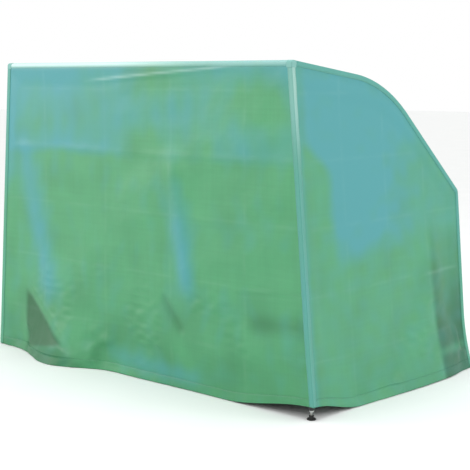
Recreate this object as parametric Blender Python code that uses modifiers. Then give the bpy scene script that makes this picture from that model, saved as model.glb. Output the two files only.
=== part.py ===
"""A free-standing screen: a fitted cover of woven polyethylene, pulled down over a plug-together frame of steel tube.

Metres, +Z up. The origin is on the floor at the centre of the base. X runs along the width, and the tall flat
face looks to -Y. The roof falls away towards +Y, bends over a knee and comes down to a low rear wall. Both sides
lean out towards the floor. Left is -X and right is +X.
"""

import math

import bmesh
import bpy
from mathutils import Matrix, Vector

# The cover, measured over its outer surface
HEIGHT = 1.64
TOP_WIDTH = 2.05
SIDE_FLARE = 0.145  # how far each side leans out between the top and the floor
DEPTH = 1.36
EAVE_HEIGHT = 0.958  # where the sloping roof would meet the rear wall if the eave were sharp
ROOF_FALL = math.radians(7.5)
KNEE_SETBACK = 0.731  # from the tall face to where the roof would meet the slope if the knee were sharp
KNEE_RADIUS = 0.77
FOOT_SPREAD = 0.14  # how far the slack at the foot of the tall face stands out, halfway to its left corner
SPREAD_RISE = 0.6  # how far up the face that slack reaches
EAVE_EASE = 0.012  # how much wider than its seat the cover bends over the eave
EAVE_LAP = 0.045  # the roof panel comes this far down the rear wall
HEM_LIFT = 0.012  # free height under the hem
HEM_HEIGHT = 0.045
HEM_THICKNESS = 0.003
SHEET = 0.0015
TAPE = 0.001
TAPE_WIDTH = 0.025  # each leg of a folded seam tape
LAP = 0.0004  # gap between pieces that touch
ROOF_PLAY = 0.0004  # from the roof's underside to the sockets that it rests on
WALL_PLAY = 0.003  # from the inside of the hems to the widest piece of the frame

# The frame
TUBE_RADIUS = 0.016
TUBE_WALL = 0.0015
SOCKET_PLAY = 0.0004
SOCKET_WALL = 0.0025
SOCKET_LENGTH = 0.07
SOCKET_FLOOR = 0.024  # from a fitting's centre to the bottom of its sockets
SEAT_GAP = 0.0005  # between a tube's end and its socket's bottom
KNUCKLE_RADIUS = 0.0205
BASE_RAIL_HEIGHT = 0.085
MID_RAIL_HEIGHT = 1.18
PURLIN_SETBACK = 0.065  # from the ends of the knee bend to the purlins

# The levelling feet
STEM_RADIUS = 0.006
STEM_PLAY = 0.0004
STEM_ENGAGED = 0.028  # how far the stem reaches into its boss above the boss's mouth
BOSS_RADIUS = 0.0125
BOSS_DROP = 0.04  # from the fitting's centre to the boss's mouth
NUT_RADIUS = 0.0115
NUT_HEIGHT = 0.008
PAD_RADIUS = 0.022
PAD_THICKNESS = 0.008
PAD_EDGE = 0.004
HUB_RADIUS = 0.0115
HUB_HEIGHT = 0.022
CUP_DEPTH = 0.011

SIDES = 16  # flats round a tube, a fitting or a stem
FLAT = math.cos(math.pi / SIDES)  # a round piece's radius across its flats, as a share of that across its corners
KNEE_STEPS = 12
EAVE_STEPS = 4
FACE_COLUMNS = 16  # across the tall face, which has its left quarter line on a column
SLACK_COLUMNS = 3  # from that line to where the slack ends, either way
SPREAD_ROWS = 6
OVERSHOOT = 0.004  # how far a cutter runs past what it cuts

FRONT_Y = (FOOT_SPREAD - DEPTH - LAP - TAPE) / 2
REAR_Y = FRONT_Y + DEPTH
BORE_RADIUS = (TUBE_RADIUS + SOCKET_PLAY) / FLAT
SLEEVE_RADIUS = BORE_RADIUS + SOCKET_WALL
STEM_BORE_RADIUS = (STEM_RADIUS + STEM_PLAY) / FLAT
FRAME_RADIUS = max(KNUCKLE_RADIUS, SLEEVE_RADIUS)
ROOF_INSET = SHEET + ROOF_PLAY + FRAME_RADIUS  # from the cover's outside to the frame's centre lines
WALL_INSET = max(SHEET, HEM_THICKNESS) + WALL_PLAY + FRAME_RADIUS
EAVE_RADIUS = ROOF_INSET + EAVE_EASE
HEM_TOP = HEM_LIFT + HEM_HEIGHT
FLARE_SLOPE = SIDE_FLARE / HEIGHT
ACROSS_LEAN = math.hypot(1, FLARE_SLOPE)  # width along X of a unit measured square to the leaning side
HANDS = {"left": -1, "right": 1}


# The side view


def to_inside(direction):
    """Square to a direction in the side view, on the inside of an outline that climbs the front."""
    return Vector((direction.y, -direction.x))


def crossing(first, second):
    """Where two lines of the side view cross. A line is a point and a direction."""
    (p, d), (q, e) = first, second
    share = ((q.x - p.x) * e.y - (q.y - p.y) * e.x) / (d.x * e.y - d.y * e.x)
    return p + d * share


def outline(inset, wall_inset=None):
    """The side view's corners as (y, z): brow, knee and eave. The roof is moved inwards, and so are the walls,
    which can have an inset of their own."""
    wall_inset = inset if wall_inset is None else wall_inset
    knee = Vector((FRONT_Y + KNEE_SETBACK, HEIGHT - KNEE_SETBACK * math.tan(ROOF_FALL)))
    roof = Vector((math.cos(ROOF_FALL), -math.sin(ROOF_FALL)))
    slope = (Vector((REAR_Y, EAVE_HEIGHT)) - knee).normalized()
    lines = [
        (Vector((FRONT_Y + wall_inset, 0)), Vector((0, 1))),
        (Vector((FRONT_Y, HEIGHT)) + to_inside(roof) * inset, roof),
        (Vector((REAR_Y, EAVE_HEIGHT)) + to_inside(slope) * inset, slope),
        (Vector((REAR_Y - wall_inset, 0)), Vector((0, -1))),
    ]
    return [crossing(a, b) for a, b in zip(lines, lines[1:])]


def bend(before, corner, after, radius, steps):
    """An arc of the given radius that rounds a corner of the side view, from one straight to the next."""
    first = (corner - before).normalized()
    second = (after - corner).normalized()
    turn = abs(first.angle_signed(second))
    start = corner - first * radius * math.tan(turn / 2)
    centre = start + to_inside(first) * radius
    spoke = start - centre
    return [centre + Matrix.Rotation(-turn * n / steps, 2) @ spoke for n in range(steps + 1)]


def knee_bend(inset):
    brow, knee, eave = outline(inset)
    return bend(brow, knee, eave, KNEE_RADIUS - inset, KNEE_STEPS)


def roof_line(inset):
    """The roof's line in the side view, from the brow over the knee and round the eave to a vertical end."""
    brow, knee, eave = outline(inset)
    below = eave - Vector((0, 1))
    return [brow, *knee_bend(inset), *bend(knee, eave, below, EAVE_RADIUS - inset, EAVE_STEPS)]


def half_width(z, inset):
    """From the middle to the side's surface at height z, the surface moved inwards square to itself."""
    return TOP_WIDTH / 2 + SIDE_FLARE - FLARE_SLOPE * z - inset * ACROSS_LEAN


def slack(column, z):
    """How far the tall face stands out: a round bulge about its left quarter line, which fades out up the face."""
    away = (column - FACE_COLUMNS / 4) / SLACK_COLUMNS
    up = min((z - HEM_LIFT) / SPREAD_RISE, 1)
    return FOOT_SPREAD * (1 + math.cos(math.pi * max(-1, min(away, 1)))) / 2 * (1 - up) ** 2


def on_side(hand, point, inset):
    """A point of the side view, placed on a leaning side of the cover that is moved inwards."""
    return Vector((hand * half_width(point.y, inset), point.x, point.y))


# Building


def finish(name, colour, metallic, roughness):
    material = bpy.data.materials.new(name)
    material.use_nodes = True
    shader = material.node_tree.nodes["Principled BSDF"]
    shader.inputs["Base Color"].default_value = (*colour, 1)
    shader.inputs["Metallic"].default_value = metallic
    shader.inputs["Roughness"].default_value = roughness
    material.diffuse_color = (*colour, 1)
    return material


def new_collection(name):
    collection = bpy.data.collections.new(name)
    bpy.context.scene.collection.children.link(collection)
    return collection


def hub(name, place, parent=None):
    """An empty that a body's pieces hang on, at the point its joint turns about or slides through."""
    empty = bpy.data.objects.new(name, None)
    screen.objects.link(empty)
    empty.parent = parent
    empty.location = place
    return empty


def add(name, mesh, material, parent, matrix=Matrix()):
    """A sub-part of the object, placed by a world matrix."""
    piece = bpy.data.objects.new(name, mesh)
    screen.objects.link(piece)
    mesh.materials.append(material)
    piece.parent = parent
    bpy.context.view_layer.update()
    piece.matrix_world = matrix
    return piece


def cutter(mesh, matrix):
    """A helper for a Boolean: it isn't part of the object."""
    helper = bpy.data.objects.new("helper", mesh)
    helpers.objects.link(helper)
    helper.matrix_world = matrix
    helper.hide_render = True
    helper.display_type = "WIRE"
    return helper


def along(start, end):
    """The matrix that stands a centred, upright shape on the line from start to end."""
    turn = (end - start).to_track_quat("Z", "Y")
    return Matrix.LocRotScale((start + end) / 2, turn, None)


def rod_mesh(length, radius, sides=SIDES):
    mesh = bpy.data.meshes.new("rod")
    bm = bmesh.new()
    bmesh.ops.create_cone(
        bm, cap_ends=True, segments=sides, radius1=radius, radius2=radius, depth=length
    )
    bm.to_mesh(mesh)
    bm.free()
    return mesh


def rod(name, start, end, radius, material, parent, sides=SIDES):
    mesh = rod_mesh((end - start).length, radius, sides)
    return add(name, mesh, material, parent, along(start, end))


def ball(name, centre, radius, material, parent):
    mesh = bpy.data.meshes.new(name)
    bm = bmesh.new()
    bmesh.ops.create_uvsphere(bm, u_segments=SIDES, v_segments=SIDES // 2, radius=radius)
    bm.to_mesh(mesh)
    bm.free()
    return add(name, mesh, material, parent, Matrix.Translation(centre))


def combine(piece, operation, start, end, radius):
    """Joins a rod to a piece with UNION, or bores it out of the piece with DIFFERENCE."""
    modifier = piece.modifiers.new(operation.lower(), "BOOLEAN")
    modifier.operation = operation
    modifier.object = cutter(rod_mesh((end - start).length, radius), along(start, end))


def thicken(piece, thickness, offset):
    """Gives an open surface its wall: offset -1 puts the wall behind the surface and 1 in front of it."""
    solidify = piece.modifiers.new("wall", "SOLIDIFY")
    solidify.thickness = thickness
    solidify.offset = offset
    solidify.use_even_offset = True


def tube(name, points, parent):
    """A hollow tube with open ends that follows a list of points."""
    path = bpy.data.curves.new(name, "CURVE")
    path.dimensions = "3D"
    path.bevel_depth = TUBE_RADIUS
    path.bevel_resolution = SIDES // 2 - 2
    path.use_fill_caps = False
    spline = path.splines.new("POLY")
    spline.points.add(len(points) - 1)
    for at, point in zip(spline.points, points):
        at.co = (*point, 1)
    guide = bpy.data.objects.new(name, path)
    screen.objects.link(guide)
    graph = bpy.context.evaluated_depsgraph_get()
    mesh = bpy.data.meshes.new_from_object(guide.evaluated_get(graph))
    bpy.data.objects.remove(guide)
    piece = add(name, mesh, steel, parent)
    thicken(piece, TUBE_WALL, -1)
    return piece


def plugged_tube(name, start, end, parent):
    """A straight tube between two fittings' centres, short of each by its socket's bottom."""
    way = (end - start).normalized() * (SOCKET_FLOOR + SEAT_GAP)
    return tube(name, [start + way, end - way], parent)


def sheet(name, place, columns, rows, thickness, material, parent, offset=-1):
    """A thin piece: a grid bent to place(column, row), then given its wall.
    Seen from outside, columns run to the right and rows run up."""
    mesh = bpy.data.meshes.new(name)
    bm = bmesh.new()
    bmesh.ops.create_grid(bm, x_segments=columns, y_segments=rows, size=1)
    for vert in bm.verts:
        column = round((vert.co.x + 1) / 2 * columns)
        row = round((vert.co.y + 1) / 2 * rows)
        vert.co = place(column, row)
    bm.to_mesh(mesh)
    bm.free()
    piece = add(name, mesh, material, parent)
    thicken(piece, thickness, offset)
    return piece


# The frame's fittings


def socket_fitting(name, centre, ways, parent):
    """A ball with a socket along each way. The tubes plug into the sockets."""
    piece = ball(name, centre, KNUCKLE_RADIUS, casting, parent)
    for way in ways:
        combine(piece, "UNION", centre, centre + way * SOCKET_LENGTH, SLEEVE_RADIUS)
    for way in ways:
        mouth = centre + way * (SOCKET_LENGTH + OVERSHOOT)
        combine(piece, "DIFFERENCE", centre + way * SOCKET_FLOOR, mouth, BORE_RADIUS)
    return piece


def tee_fitting(name, centre, through, way, parent):
    """A sleeve that slides along one tube, with a socket at its side for another."""
    half = through.normalized() * SOCKET_LENGTH / 2
    over = through.normalized() * (SOCKET_LENGTH / 2 + OVERSHOOT)
    piece = rod(name, centre - half, centre + half, SLEEVE_RADIUS, casting, parent)
    combine(piece, "UNION", centre, centre + way * SOCKET_LENGTH, SLEEVE_RADIUS)
    combine(piece, "DIFFERENCE", centre - over, centre + over, BORE_RADIUS)
    mouth = centre + way * (SOCKET_LENGTH + OVERSHOOT)
    combine(piece, "DIFFERENCE", centre + way * SOCKET_FLOOR, mouth, BORE_RADIUS)
    return piece


def add_boss(piece, centre):
    """The boss below a floor fitting, bored for a foot's stem."""
    mouth = centre - Vector((0, 0, BOSS_DROP))
    combine(piece, "UNION", centre, mouth, BOSS_RADIUS)
    deep = mouth + Vector((0, 0, STEM_ENGAGED + OVERSHOOT / 2))
    combine(piece, "DIFFERENCE", mouth - Vector((0, 0, OVERSHOOT)), deep, STEM_BORE_RADIUS)


def foot(corner, centre):
    """A levelling foot below a floor fitting: the stem screws in the boss, and the pad swivels on the stem."""
    mouth = centre.z - BOSS_DROP
    axis = Vector((centre.x, centre.y, 0))
    carrier = hub(f"foot_{corner}", axis)
    swivel = hub(f"pad_{corner}", Vector(), carrier)

    low = HUB_HEIGHT - CUP_DEPTH + STEM_PLAY
    stem_low = axis + Vector((0, 0, low))
    rod(f"foot_stem_{corner}", stem_low, axis + Vector((0, 0, mouth + STEM_ENGAGED)), STEM_RADIUS, zinc, carrier)

    nut_high = axis + Vector((0, 0, mouth - LAP))
    nut_low = nut_high - Vector((0, 0, NUT_HEIGHT))
    nut = rod(f"foot_nut_{corner}", nut_low, nut_high, NUT_RADIUS, zinc, frame, sides=6)
    over = Vector((0, 0, OVERSHOOT))
    combine(nut, "DIFFERENCE", nut_low - over, nut_high + over, STEM_BORE_RADIUS)

    profile = [
        (0, HUB_HEIGHT - CUP_DEPTH),
        (STEM_BORE_RADIUS, HUB_HEIGHT - CUP_DEPTH),
        (STEM_BORE_RADIUS, HUB_HEIGHT),
        (HUB_RADIUS, HUB_HEIGHT),
        (HUB_RADIUS, PAD_THICKNESS),
        (PAD_RADIUS - PAD_EDGE, PAD_THICKNESS),
        (PAD_RADIUS, PAD_THICKNESS - PAD_EDGE),
        (PAD_RADIUS, 0),
        (0, 0),
    ]
    mesh = bpy.data.meshes.new("pad")
    ends = range(len(profile) - 1)
    mesh.from_pydata([(r, 0, z) for r, z in profile], [(n, n + 1) for n in ends], [])
    pad = add(f"foot_pad_{corner}", mesh, rubber, swivel, Matrix.Translation(axis))
    screw = pad.modifiers.new("turn", "SCREW")
    screw.steps = screw.render_steps = 2 * SIDES
    screw.use_merge_vertices = True
    screw.merge_threshold = 0.0001


# The frame


def build_side_frame(side, hand):
    """One leaning side: two posts, the bent roof bow, the floor rail, and the fittings that join them."""
    brow, _, eave = outline(ROOF_INSET, WALL_INSET)
    front_base = Vector((brow.x, BASE_RAIL_HEIGHT))
    rear_base = Vector((eave.x, BASE_RAIL_HEIGHT))
    top, low_eave, front, rear = (
        on_side(hand, point, WALL_INSET) for point in (brow, eave, front_base, rear_base)
    )
    knee = [on_side(hand, point, WALL_INSET) for point in knee_bend(ROOF_INSET)]
    inwards = Vector((-hand, 0, 0))
    roofward = (knee[0] - top).normalized()
    slopeward = (knee[-1] - low_eave).normalized()
    up_front = (top - front).normalized()
    up_rear = (low_eave - rear).normalized()
    floorward = (rear - front).normalized()

    socket_fitting(f"brow_socket_{side}", top, [-up_front, roofward, inwards], frame)
    socket_fitting(f"eave_socket_{side}", low_eave, [-up_rear, slopeward, inwards], frame)
    front_socket = socket_fitting(
        f"front_foot_socket_{side}", front, [up_front, floorward, inwards], frame
    )
    rear_socket = socket_fitting(
        f"rear_foot_socket_{side}", rear, [up_rear, -floorward, inwards], frame
    )
    add_boss(front_socket, front)
    add_boss(rear_socket, rear)
    foot(f"front_{side}", front)
    foot(f"rear_{side}", rear)

    plugged_tube(f"front_post_{side}", front, top, frame)
    plugged_tube(f"rear_post_{side}", rear, low_eave, frame)
    plugged_tube(f"side_rail_{side}", front, rear, frame)
    seat = SOCKET_FLOOR + SEAT_GAP
    tube(f"roof_bow_{side}", [top + roofward * seat, *knee, low_eave + slopeward * seat], frame)

    middle = on_side(hand, Vector((brow.x, MID_RAIL_HEIGHT)), WALL_INSET)
    upper = knee[0] - roofward * PURLIN_SETBACK
    lower = knee[-1] - slopeward * PURLIN_SETBACK
    tee_fitting(f"mid_tee_{side}", middle, up_front, inwards, frame)
    tee_fitting(f"upper_purlin_tee_{side}", upper, roofward, inwards, frame)
    tee_fitting(f"lower_purlin_tee_{side}", lower, slopeward, inwards, frame)
    return {
        "top_front_rail": top,
        "eave_rail": low_eave,
        "front_bottom_rail": front,
        "rear_bottom_rail": rear,
        "front_mid_rail": middle,
        "upper_purlin": upper,
        "lower_purlin": lower,
    }


def build_cross_rails(left_ends, right_ends):
    for name, start in left_ends.items():
        plugged_tube(name, start, right_ends[name], frame)


# The cover


def tall_face(heights):
    """Places a grid on the tall face, with the slack at its foot."""

    def place(column, row):
        z = heights[row]
        return Vector(((2 * column / FACE_COLUMNS - 1) * half_width(z, 0), FRONT_Y - slack(column, z), z))

    return place


def build_panels():
    """The five panels. The side panels stop inside the others, and the roof lies over the front and the sides."""
    tucked = SHEET + LAP
    outer = roof_line(0)
    under_roof = roof_line(tucked)
    roof_end = outer[-1].y - EAVE_LAP
    roof_rows = [*outer, Vector((REAR_Y, roof_end))]
    foot_z = HEM_TOP + LAP
    front_top = under_roof[0].y
    rear_top = roof_end - LAP

    def roof(column, row):
        y, z = roof_rows[row]
        return Vector(((2 * column - 1) * half_width(z, 0), y, z))

    front_rows = [foot_z + SPREAD_RISE * row / SPREAD_ROWS for row in range(SPREAD_ROWS + 1)] + [front_top]

    def rear(column, row):
        z = (foot_z, rear_top)[row]
        return Vector(((1 - 2 * column) * half_width(z, 0), REAR_Y, z))

    def side_wall(hand):
        def place(column, row):
            point = under_roof[column] if hand > 0 else under_roof[-1 - column]
            z = (foot_z, point.y)[row]
            return on_side(hand, Vector((point.x, z)), 0)

        return place

    sheet("roof_panel", roof, 1, len(roof_rows) - 1, SHEET, fabric, cover)
    front = tall_face(front_rows)
    sheet("front_panel", front, FACE_COLUMNS, len(front_rows) - 1, SHEET, fabric, cover)
    sheet("rear_panel", rear, 1, 1, SHEET, fabric, cover)
    for side, hand in HANDS.items():
        columns = len(under_roof) - 1
        sheet(f"side_panel_{side}", side_wall(hand), columns, 1, SHEET, fabric, cover)


def build_hems():
    """The folded hems round the foot of the cover. The side hems stop inside the front and rear ones."""
    heights = (HEM_LIFT, HEM_TOP)
    tucked = HEM_THICKNESS + LAP

    def rear(column, row):
        z = heights[row]
        return Vector(((1 - 2 * column) * half_width(z, 0), REAR_Y, z))

    def fore_and_aft(hand):
        def place(column, row):
            y = (FRONT_Y + tucked, REAR_Y - tucked)[column if hand > 0 else 1 - column]
            return on_side(hand, Vector((y, heights[row])), 0)

        return place

    sheet("front_hem", tall_face(heights), FACE_COLUMNS, 1, HEM_THICKNESS, fabric, cover)
    sheet("rear_hem", rear, 1, 1, HEM_THICKNESS, fabric, cover)
    for side, hand in HANDS.items():
        sheet(f"side_hem_{side}", fore_and_aft(hand), 1, 1, HEM_THICKNESS, fabric, cover)


def build_seam_tapes():
    """Folded tapes over the seams, and a patch on each brow corner, where three panels meet."""
    proud = -LAP
    edge = roof_line(proud)
    brow = edge[0]
    clear = TAPE_WIDTH + LAP
    fall = math.tan(ROOF_FALL)
    ends = range(len(edge))
    steps = [edge[min(n + 1, len(edge) - 1)] - edge[max(n - 1, 0)] for n in ends]
    inwards = [to_inside(step.normalized()) for step in steps]

    def folded(hand, corner, first, second):
        """The three points across a folded tape: a leg's edge, the fold, and the other leg's edge."""
        points = (first, corner, second)
        return points if hand > 0 else points[::-1]

    def front_corner(hand):
        heights = (HEM_LIFT, brow.y - clear)

        def place(column, row):
            z = heights[row]
            fold = on_side(hand, Vector((brow.x, z)), proud)
            front_leg = fold - Vector((hand * TAPE_WIDTH, 0, 0))
            side_leg = fold + Vector((0, TAPE_WIDTH, 0))
            return folded(hand, fold, front_leg, side_leg)[column]

        return place

    def roof_edge(hand):
        line = [brow + Vector((clear, -clear * fall)), *edge[1:], Vector((edge[-1].x, HEM_LIFT))]
        insides = [Vector((0, -1)), *inwards[1:-1], Vector((-1, 0)), Vector((-1, 0))]

        def place(column, row):
            point = line[row]
            fold = on_side(hand, point, proud)
            roof_leg = fold - Vector((hand * TAPE_WIDTH, 0, 0))
            side_leg = on_side(hand, point + insides[row] * TAPE_WIDTH, proud)
            return folded(hand, fold, roof_leg, side_leg)[column]

        return place, len(line) - 1

    def brow_fold(column, row):
        y, z = (
            (brow.x, brow.y - TAPE_WIDTH),
            (brow.x, brow.y),
            (brow.x + TAPE_WIDTH, brow.y - TAPE_WIDTH * fall),
        )[row]
        return Vector(((2 * column - 1) * (half_width(brow.y, 0) - clear), y, z))

    def eave_band(column, row):
        joint = roof_line(0)[-1].y - EAVE_LAP
        z = joint + (row - 0.5) * TAPE_WIDTH
        return Vector(((1 - 2 * column) * (half_width(z, proud) - clear), REAR_Y - proud, z))

    sheet("brow_seam_tape", brow_fold, 1, 2, TAPE, binding, cover, offset=1)
    sheet("eave_seam_tape", eave_band, 1, 1, TAPE, binding, cover, offset=1)
    for side, hand in HANDS.items():
        place = front_corner(hand)
        sheet(f"front_seam_tape_{side}", place, 2, 1, TAPE, binding, cover, offset=1)
        place, rows = roof_edge(hand)
        sheet(f"roof_edge_tape_{side}", place, 2, rows, TAPE, binding, cover, offset=1)
        build_corner_patch(f"corner_patch_{side}", hand, brow)


def build_corner_patch(name, hand, brow):
    """The three outer faces of a small cube, sheared to lie on the front, the leaning side and the falling roof."""
    mesh = bpy.data.meshes.new(name)
    bm = bmesh.new()
    bmesh.ops.create_cube(bm, size=2)
    bm.faces.ensure_lookup_table()
    ways = (Vector((hand, 0, 0)), Vector((0, -1, 0)), Vector((0, 0, 1)))
    hidden = [face for face in bm.faces if max(face.normal.dot(way) for way in ways) < 0.5]
    bmesh.ops.delete(bm, geom=hidden, context="FACES")
    for vert in bm.verts:
        back = TAPE_WIDTH if vert.co.y > 0 else 0
        down = 0 if vert.co.z > 0 else TAPE_WIDTH
        in_from_side = 0 if vert.co.x * hand > 0 else TAPE_WIDTH
        y = brow.x + back
        z = brow.y - (down or back * math.tan(ROOF_FALL))
        vert.co = (hand * (half_width(z, -LAP) - in_from_side), y, z)
    bm.to_mesh(mesh)
    bm.free()
    piece = add(name, mesh, binding, cover)
    thicken(piece, TAPE, 1)


for leftover in list(bpy.data.objects):
    bpy.data.objects.remove(leftover)

screen = new_collection("framed_fabric_screen")
helpers = new_collection("helpers")
helpers.hide_render = True

steel = finish("powder_coated_steel", (0.045, 0.05, 0.055), 0.0, 0.45)
casting = finish("cast_socket", (0.02, 0.022, 0.024), 0.0, 0.55)
zinc = finish("zinc_plated_steel", (0.55, 0.56, 0.58), 1.0, 0.35)
rubber = finish("rubber_pad", (0.015, 0.015, 0.016), 0.0, 0.8)
fabric = finish("woven_polyethylene", (0.13, 0.42, 0.24), 0.0, 0.5)
binding = finish("seam_tape", (0.19, 0.46, 0.38), 0.0, 0.45)

frame = hub("frame", Vector())
cover = hub("cover", Vector())

rail_ends = {side: build_side_frame(side, hand) for side, hand in HANDS.items()}
build_cross_rails(rail_ends["left"], rail_ends["right"])
build_panels()
build_hems()
build_seam_tapes()
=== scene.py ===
"""The looks of a framed fabric screen: a fitted cover of green woven polyethylene over a tube frame.

Metres, +Z up, in the frame's own axes: X along the width, the tall flat face towards -Y, the floor at Z 0.
Two kinds of coordinate place everything on the cover. The wrap is the one long strip that climbs the tall
face, goes over the roof and comes down the rear wall: s is the distance along it from the front hem, and u
runs from -1 at the left seam to 1 at the right seam. A side is placed by y and z.
"""

import math

import bmesh
import bpy
import numpy as np
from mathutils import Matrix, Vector


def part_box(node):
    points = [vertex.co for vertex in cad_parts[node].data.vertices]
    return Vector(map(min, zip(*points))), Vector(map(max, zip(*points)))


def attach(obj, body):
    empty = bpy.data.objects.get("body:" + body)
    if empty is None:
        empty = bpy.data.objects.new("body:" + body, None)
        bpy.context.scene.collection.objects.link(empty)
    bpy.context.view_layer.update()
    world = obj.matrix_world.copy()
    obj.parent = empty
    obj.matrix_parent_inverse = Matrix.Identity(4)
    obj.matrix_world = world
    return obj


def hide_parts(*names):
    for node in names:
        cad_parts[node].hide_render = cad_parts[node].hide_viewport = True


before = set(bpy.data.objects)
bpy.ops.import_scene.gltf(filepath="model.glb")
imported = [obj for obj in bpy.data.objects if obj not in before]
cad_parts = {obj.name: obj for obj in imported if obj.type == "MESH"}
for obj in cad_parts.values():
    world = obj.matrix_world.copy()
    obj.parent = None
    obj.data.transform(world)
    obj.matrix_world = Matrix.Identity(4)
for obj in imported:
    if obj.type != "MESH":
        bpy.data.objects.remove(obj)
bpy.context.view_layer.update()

# The cover's cut
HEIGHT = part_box("roof_panel")[1][2]
TAPE_PROUD = 0.0014  # how far the frame's plain seam tapes stand off the cover's outline
FRONT_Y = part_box("front_seam_tape_right")[0][1] + TAPE_PROUD
REAR_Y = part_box("eave_seam_tape")[1][1] - TAPE_PROUD
HEM_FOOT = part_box("front_hem")[0][2]
HEM_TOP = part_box("front_hem")[1][2]
HEM_HEIGHT = HEM_TOP - HEM_FOOT
TOP_WIDTH = 2.05
SIDE_FLARE = 0.145
EAVE_HEIGHT = 0.958
ROOF_FALL = math.radians(7.5)
KNEE_SETBACK = 0.731
KNEE = (FRONT_Y + KNEE_SETBACK, HEIGHT - KNEE_SETBACK * math.tan(ROOF_FALL))
BROW_RADIUS = 0.014  # the sheet bends over the top front rail, and over the eave rail
KNEE_RADIUS = 0.77
EAVE_RADIUS = 0.0344
EAVE_LAP = 0.02  # the roof sheet laps this far down the rear wall
FOOT_SPREAD = 0.14  # the slack at the foot of the tall face, halfway to its left corner
SPREAD_RISE = 0.6
SPREAD_REACH = 0.375  # half the bulge's width, as a share of the half width
CORNER_LIFT = 0.056  # the near corner's hem is drawn up
LIFT_REACH = {"front": 0.55, "side": 0.36}
LIFT_RISE = 0.5
HEM_SETTLE = 0.0075  # elsewhere the hem sinks almost to the floor
HEM_STRAY = 0.036  # and stands out from the sides
STRAY_RISE = 0.3

# How the cover is made
SHEET = 0.0007
TAPE_WIDTH = 0.025
TAPE_THICKNESS = 0.0008
TAPE_FOLD = 0.0015  # half the width of the fold of a tape that is folded over a seam
TAPE_END = 0.002  # the long tapes end this far short of the hems' folds
SEAM_GAP = 0.0002  # between two layers that lie on each other
PROUD_STEP = 0.01  # a step outwards, which shows a line of stitches its outward direction
STITCH_INSET = 0.004  # from a tape's or a hem's edge to its line of stitches
STITCH_LENGTH = 0.0056
STITCH_PITCH = 0.009
THREAD_RADIUS = 0.0006
HEM_TUCK = 0.004  # the sheet ends this far above the hem's fold
CORNER_REACH = TAPE_WIDTH + 0.005  # of the patches on the two front corners
GRID = 0.0105  # spacing of the points on the big sheets
BROW_GRID = 0.0025
EAVE_GRID = 0.005
BEND_REACH = 0.02  # the closer spacing goes this far past a bend
REAR_REACH = 0.05  # and this far along a side from its rear edge
TAPE_GRID = 0.0022
PATCH_GRID = 0.004
LEAST_GRID = 0.001

# How it hangs
SLACK = 0.0014  # how much longer the sheet is than its place, as a share
HANG_GRID = 0.05  # spacing of the points that the simulation moves
HANG_FRAMES = 26
TOUCH_GAP = 0.003  # between the sheets and the tubes that carry them
HANG_FABRIC = {
    "quality": 5, "mass": 0.12, "tension_stiffness": 40, "compression_stiffness": 40, "shear_stiffness": 20,
    "bending_stiffness": 2, "air_damping": 4, "shrink_min": -SLACK, "vertex_group_mass": "seams",
}

# The frame
TUBE_RADIUS = 0.016
TUBE_WALL = 0.0015
SOCKET_LENGTH = 0.07
SOCKET_FLOOR = 0.024  # from a fitting's centre to the bottom of its sockets
TUBE_SEAT = SOCKET_FLOOR + 0.0005  # and to the end of a tube
PURLIN_SETBACK = 0.065  # from the ends of the knee bend to the purlins
FITTING_BALL = 0.0205  # no fitting is thicker than its ball
FRAME_CLEARANCE = 0.0013  # from a sheet's inside to the frame
ROOM_AT_SEAM = {"wall": 0.0035, "roof": 0.0008}  # how far a sheet may sink beside a seam, over the fittings
ROOM_IN_FIELD = {"wall": 0.0085, "roof": 0.004}  # and away from it, over the tubes
RELIEF_FADE = 0.06  # folds fade out this far from a seam
HANG_FADE = 0.08  # and the swing of the hanging sheets this far
BULGE_ROOM = 0.8  # the share of the cut's own bulge that a sheet may sink besides

RAIL_JOINTS = {  # the joint at both ends of each tube that runs across
    "top_front_rail": "brow", "front_mid_rail": "mid", "front_bottom_rail": "front_foot",
    "upper_purlin": "upper_purlin", "lower_purlin": "lower_purlin", "eave_rail": "eave",
    "rear_bottom_rail": "rear_foot",
}
TEE_RUNS = {"mid": "brow", "upper_purlin": "brow", "lower_purlin": "eave"}  # where each tee's tube runs to

# The camera, at eye level and about six metres away
CAMERA_YAW = math.radians(41.63)
CAMERA_PITCH = math.radians(-7.97)
CAMERA_PLACE = (4.2316, FRONT_Y - 3.9865, 1.5668)
CAMERA_LENS = 86.86
FLOOR_REACH = 40

HANDS = {"left": -1, "right": 1}
FLARE_SLOPE = SIDE_FLARE / HEIGHT
LEAN = math.hypot(1, FLARE_SLOPE)  # width along X of a unit measured square to a leaning side


# Shapes in general


def smooth(x):
    """0 below 0, 1 above 1, and 3x^2 - 2x^3 between."""
    x = np.clip(x, 0, 1)
    return x * x * (3 - 2 * x)


def ripples(x, y, length, seed, count=22):
    """Smooth noise of about -1 to 1: the sum of plane waves about one length long, each with a direction, a
    wavelength and a phase of its own, over the root of their number."""
    random = np.random.default_rng(seed)
    heading = random.uniform(0, 2 * np.pi, count)
    pitch = 2 * np.pi / (length * random.uniform(0.7, 1.4, count))
    phase = random.uniform(0, 2 * np.pi, count)
    total = 0
    for n in range(count):
        total = total + np.sin(pitch[n] * (x * np.cos(heading[n]) + y * np.sin(heading[n])) + phase[n])
    return total / math.sqrt(count)


def fold_lines(x, lines, width, seed):
    """Ridges and grooves along the lines x = constant: tents of -1 or 1 that fall to 0 at the width."""
    signs = np.random.default_rng(seed).choice((-1, 1), len(lines))
    near = np.abs(x[..., None] - lines)
    return (np.clip(1 - near / width, 0, 1) ** 1.5 * signs).sum(axis=-1)


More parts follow.
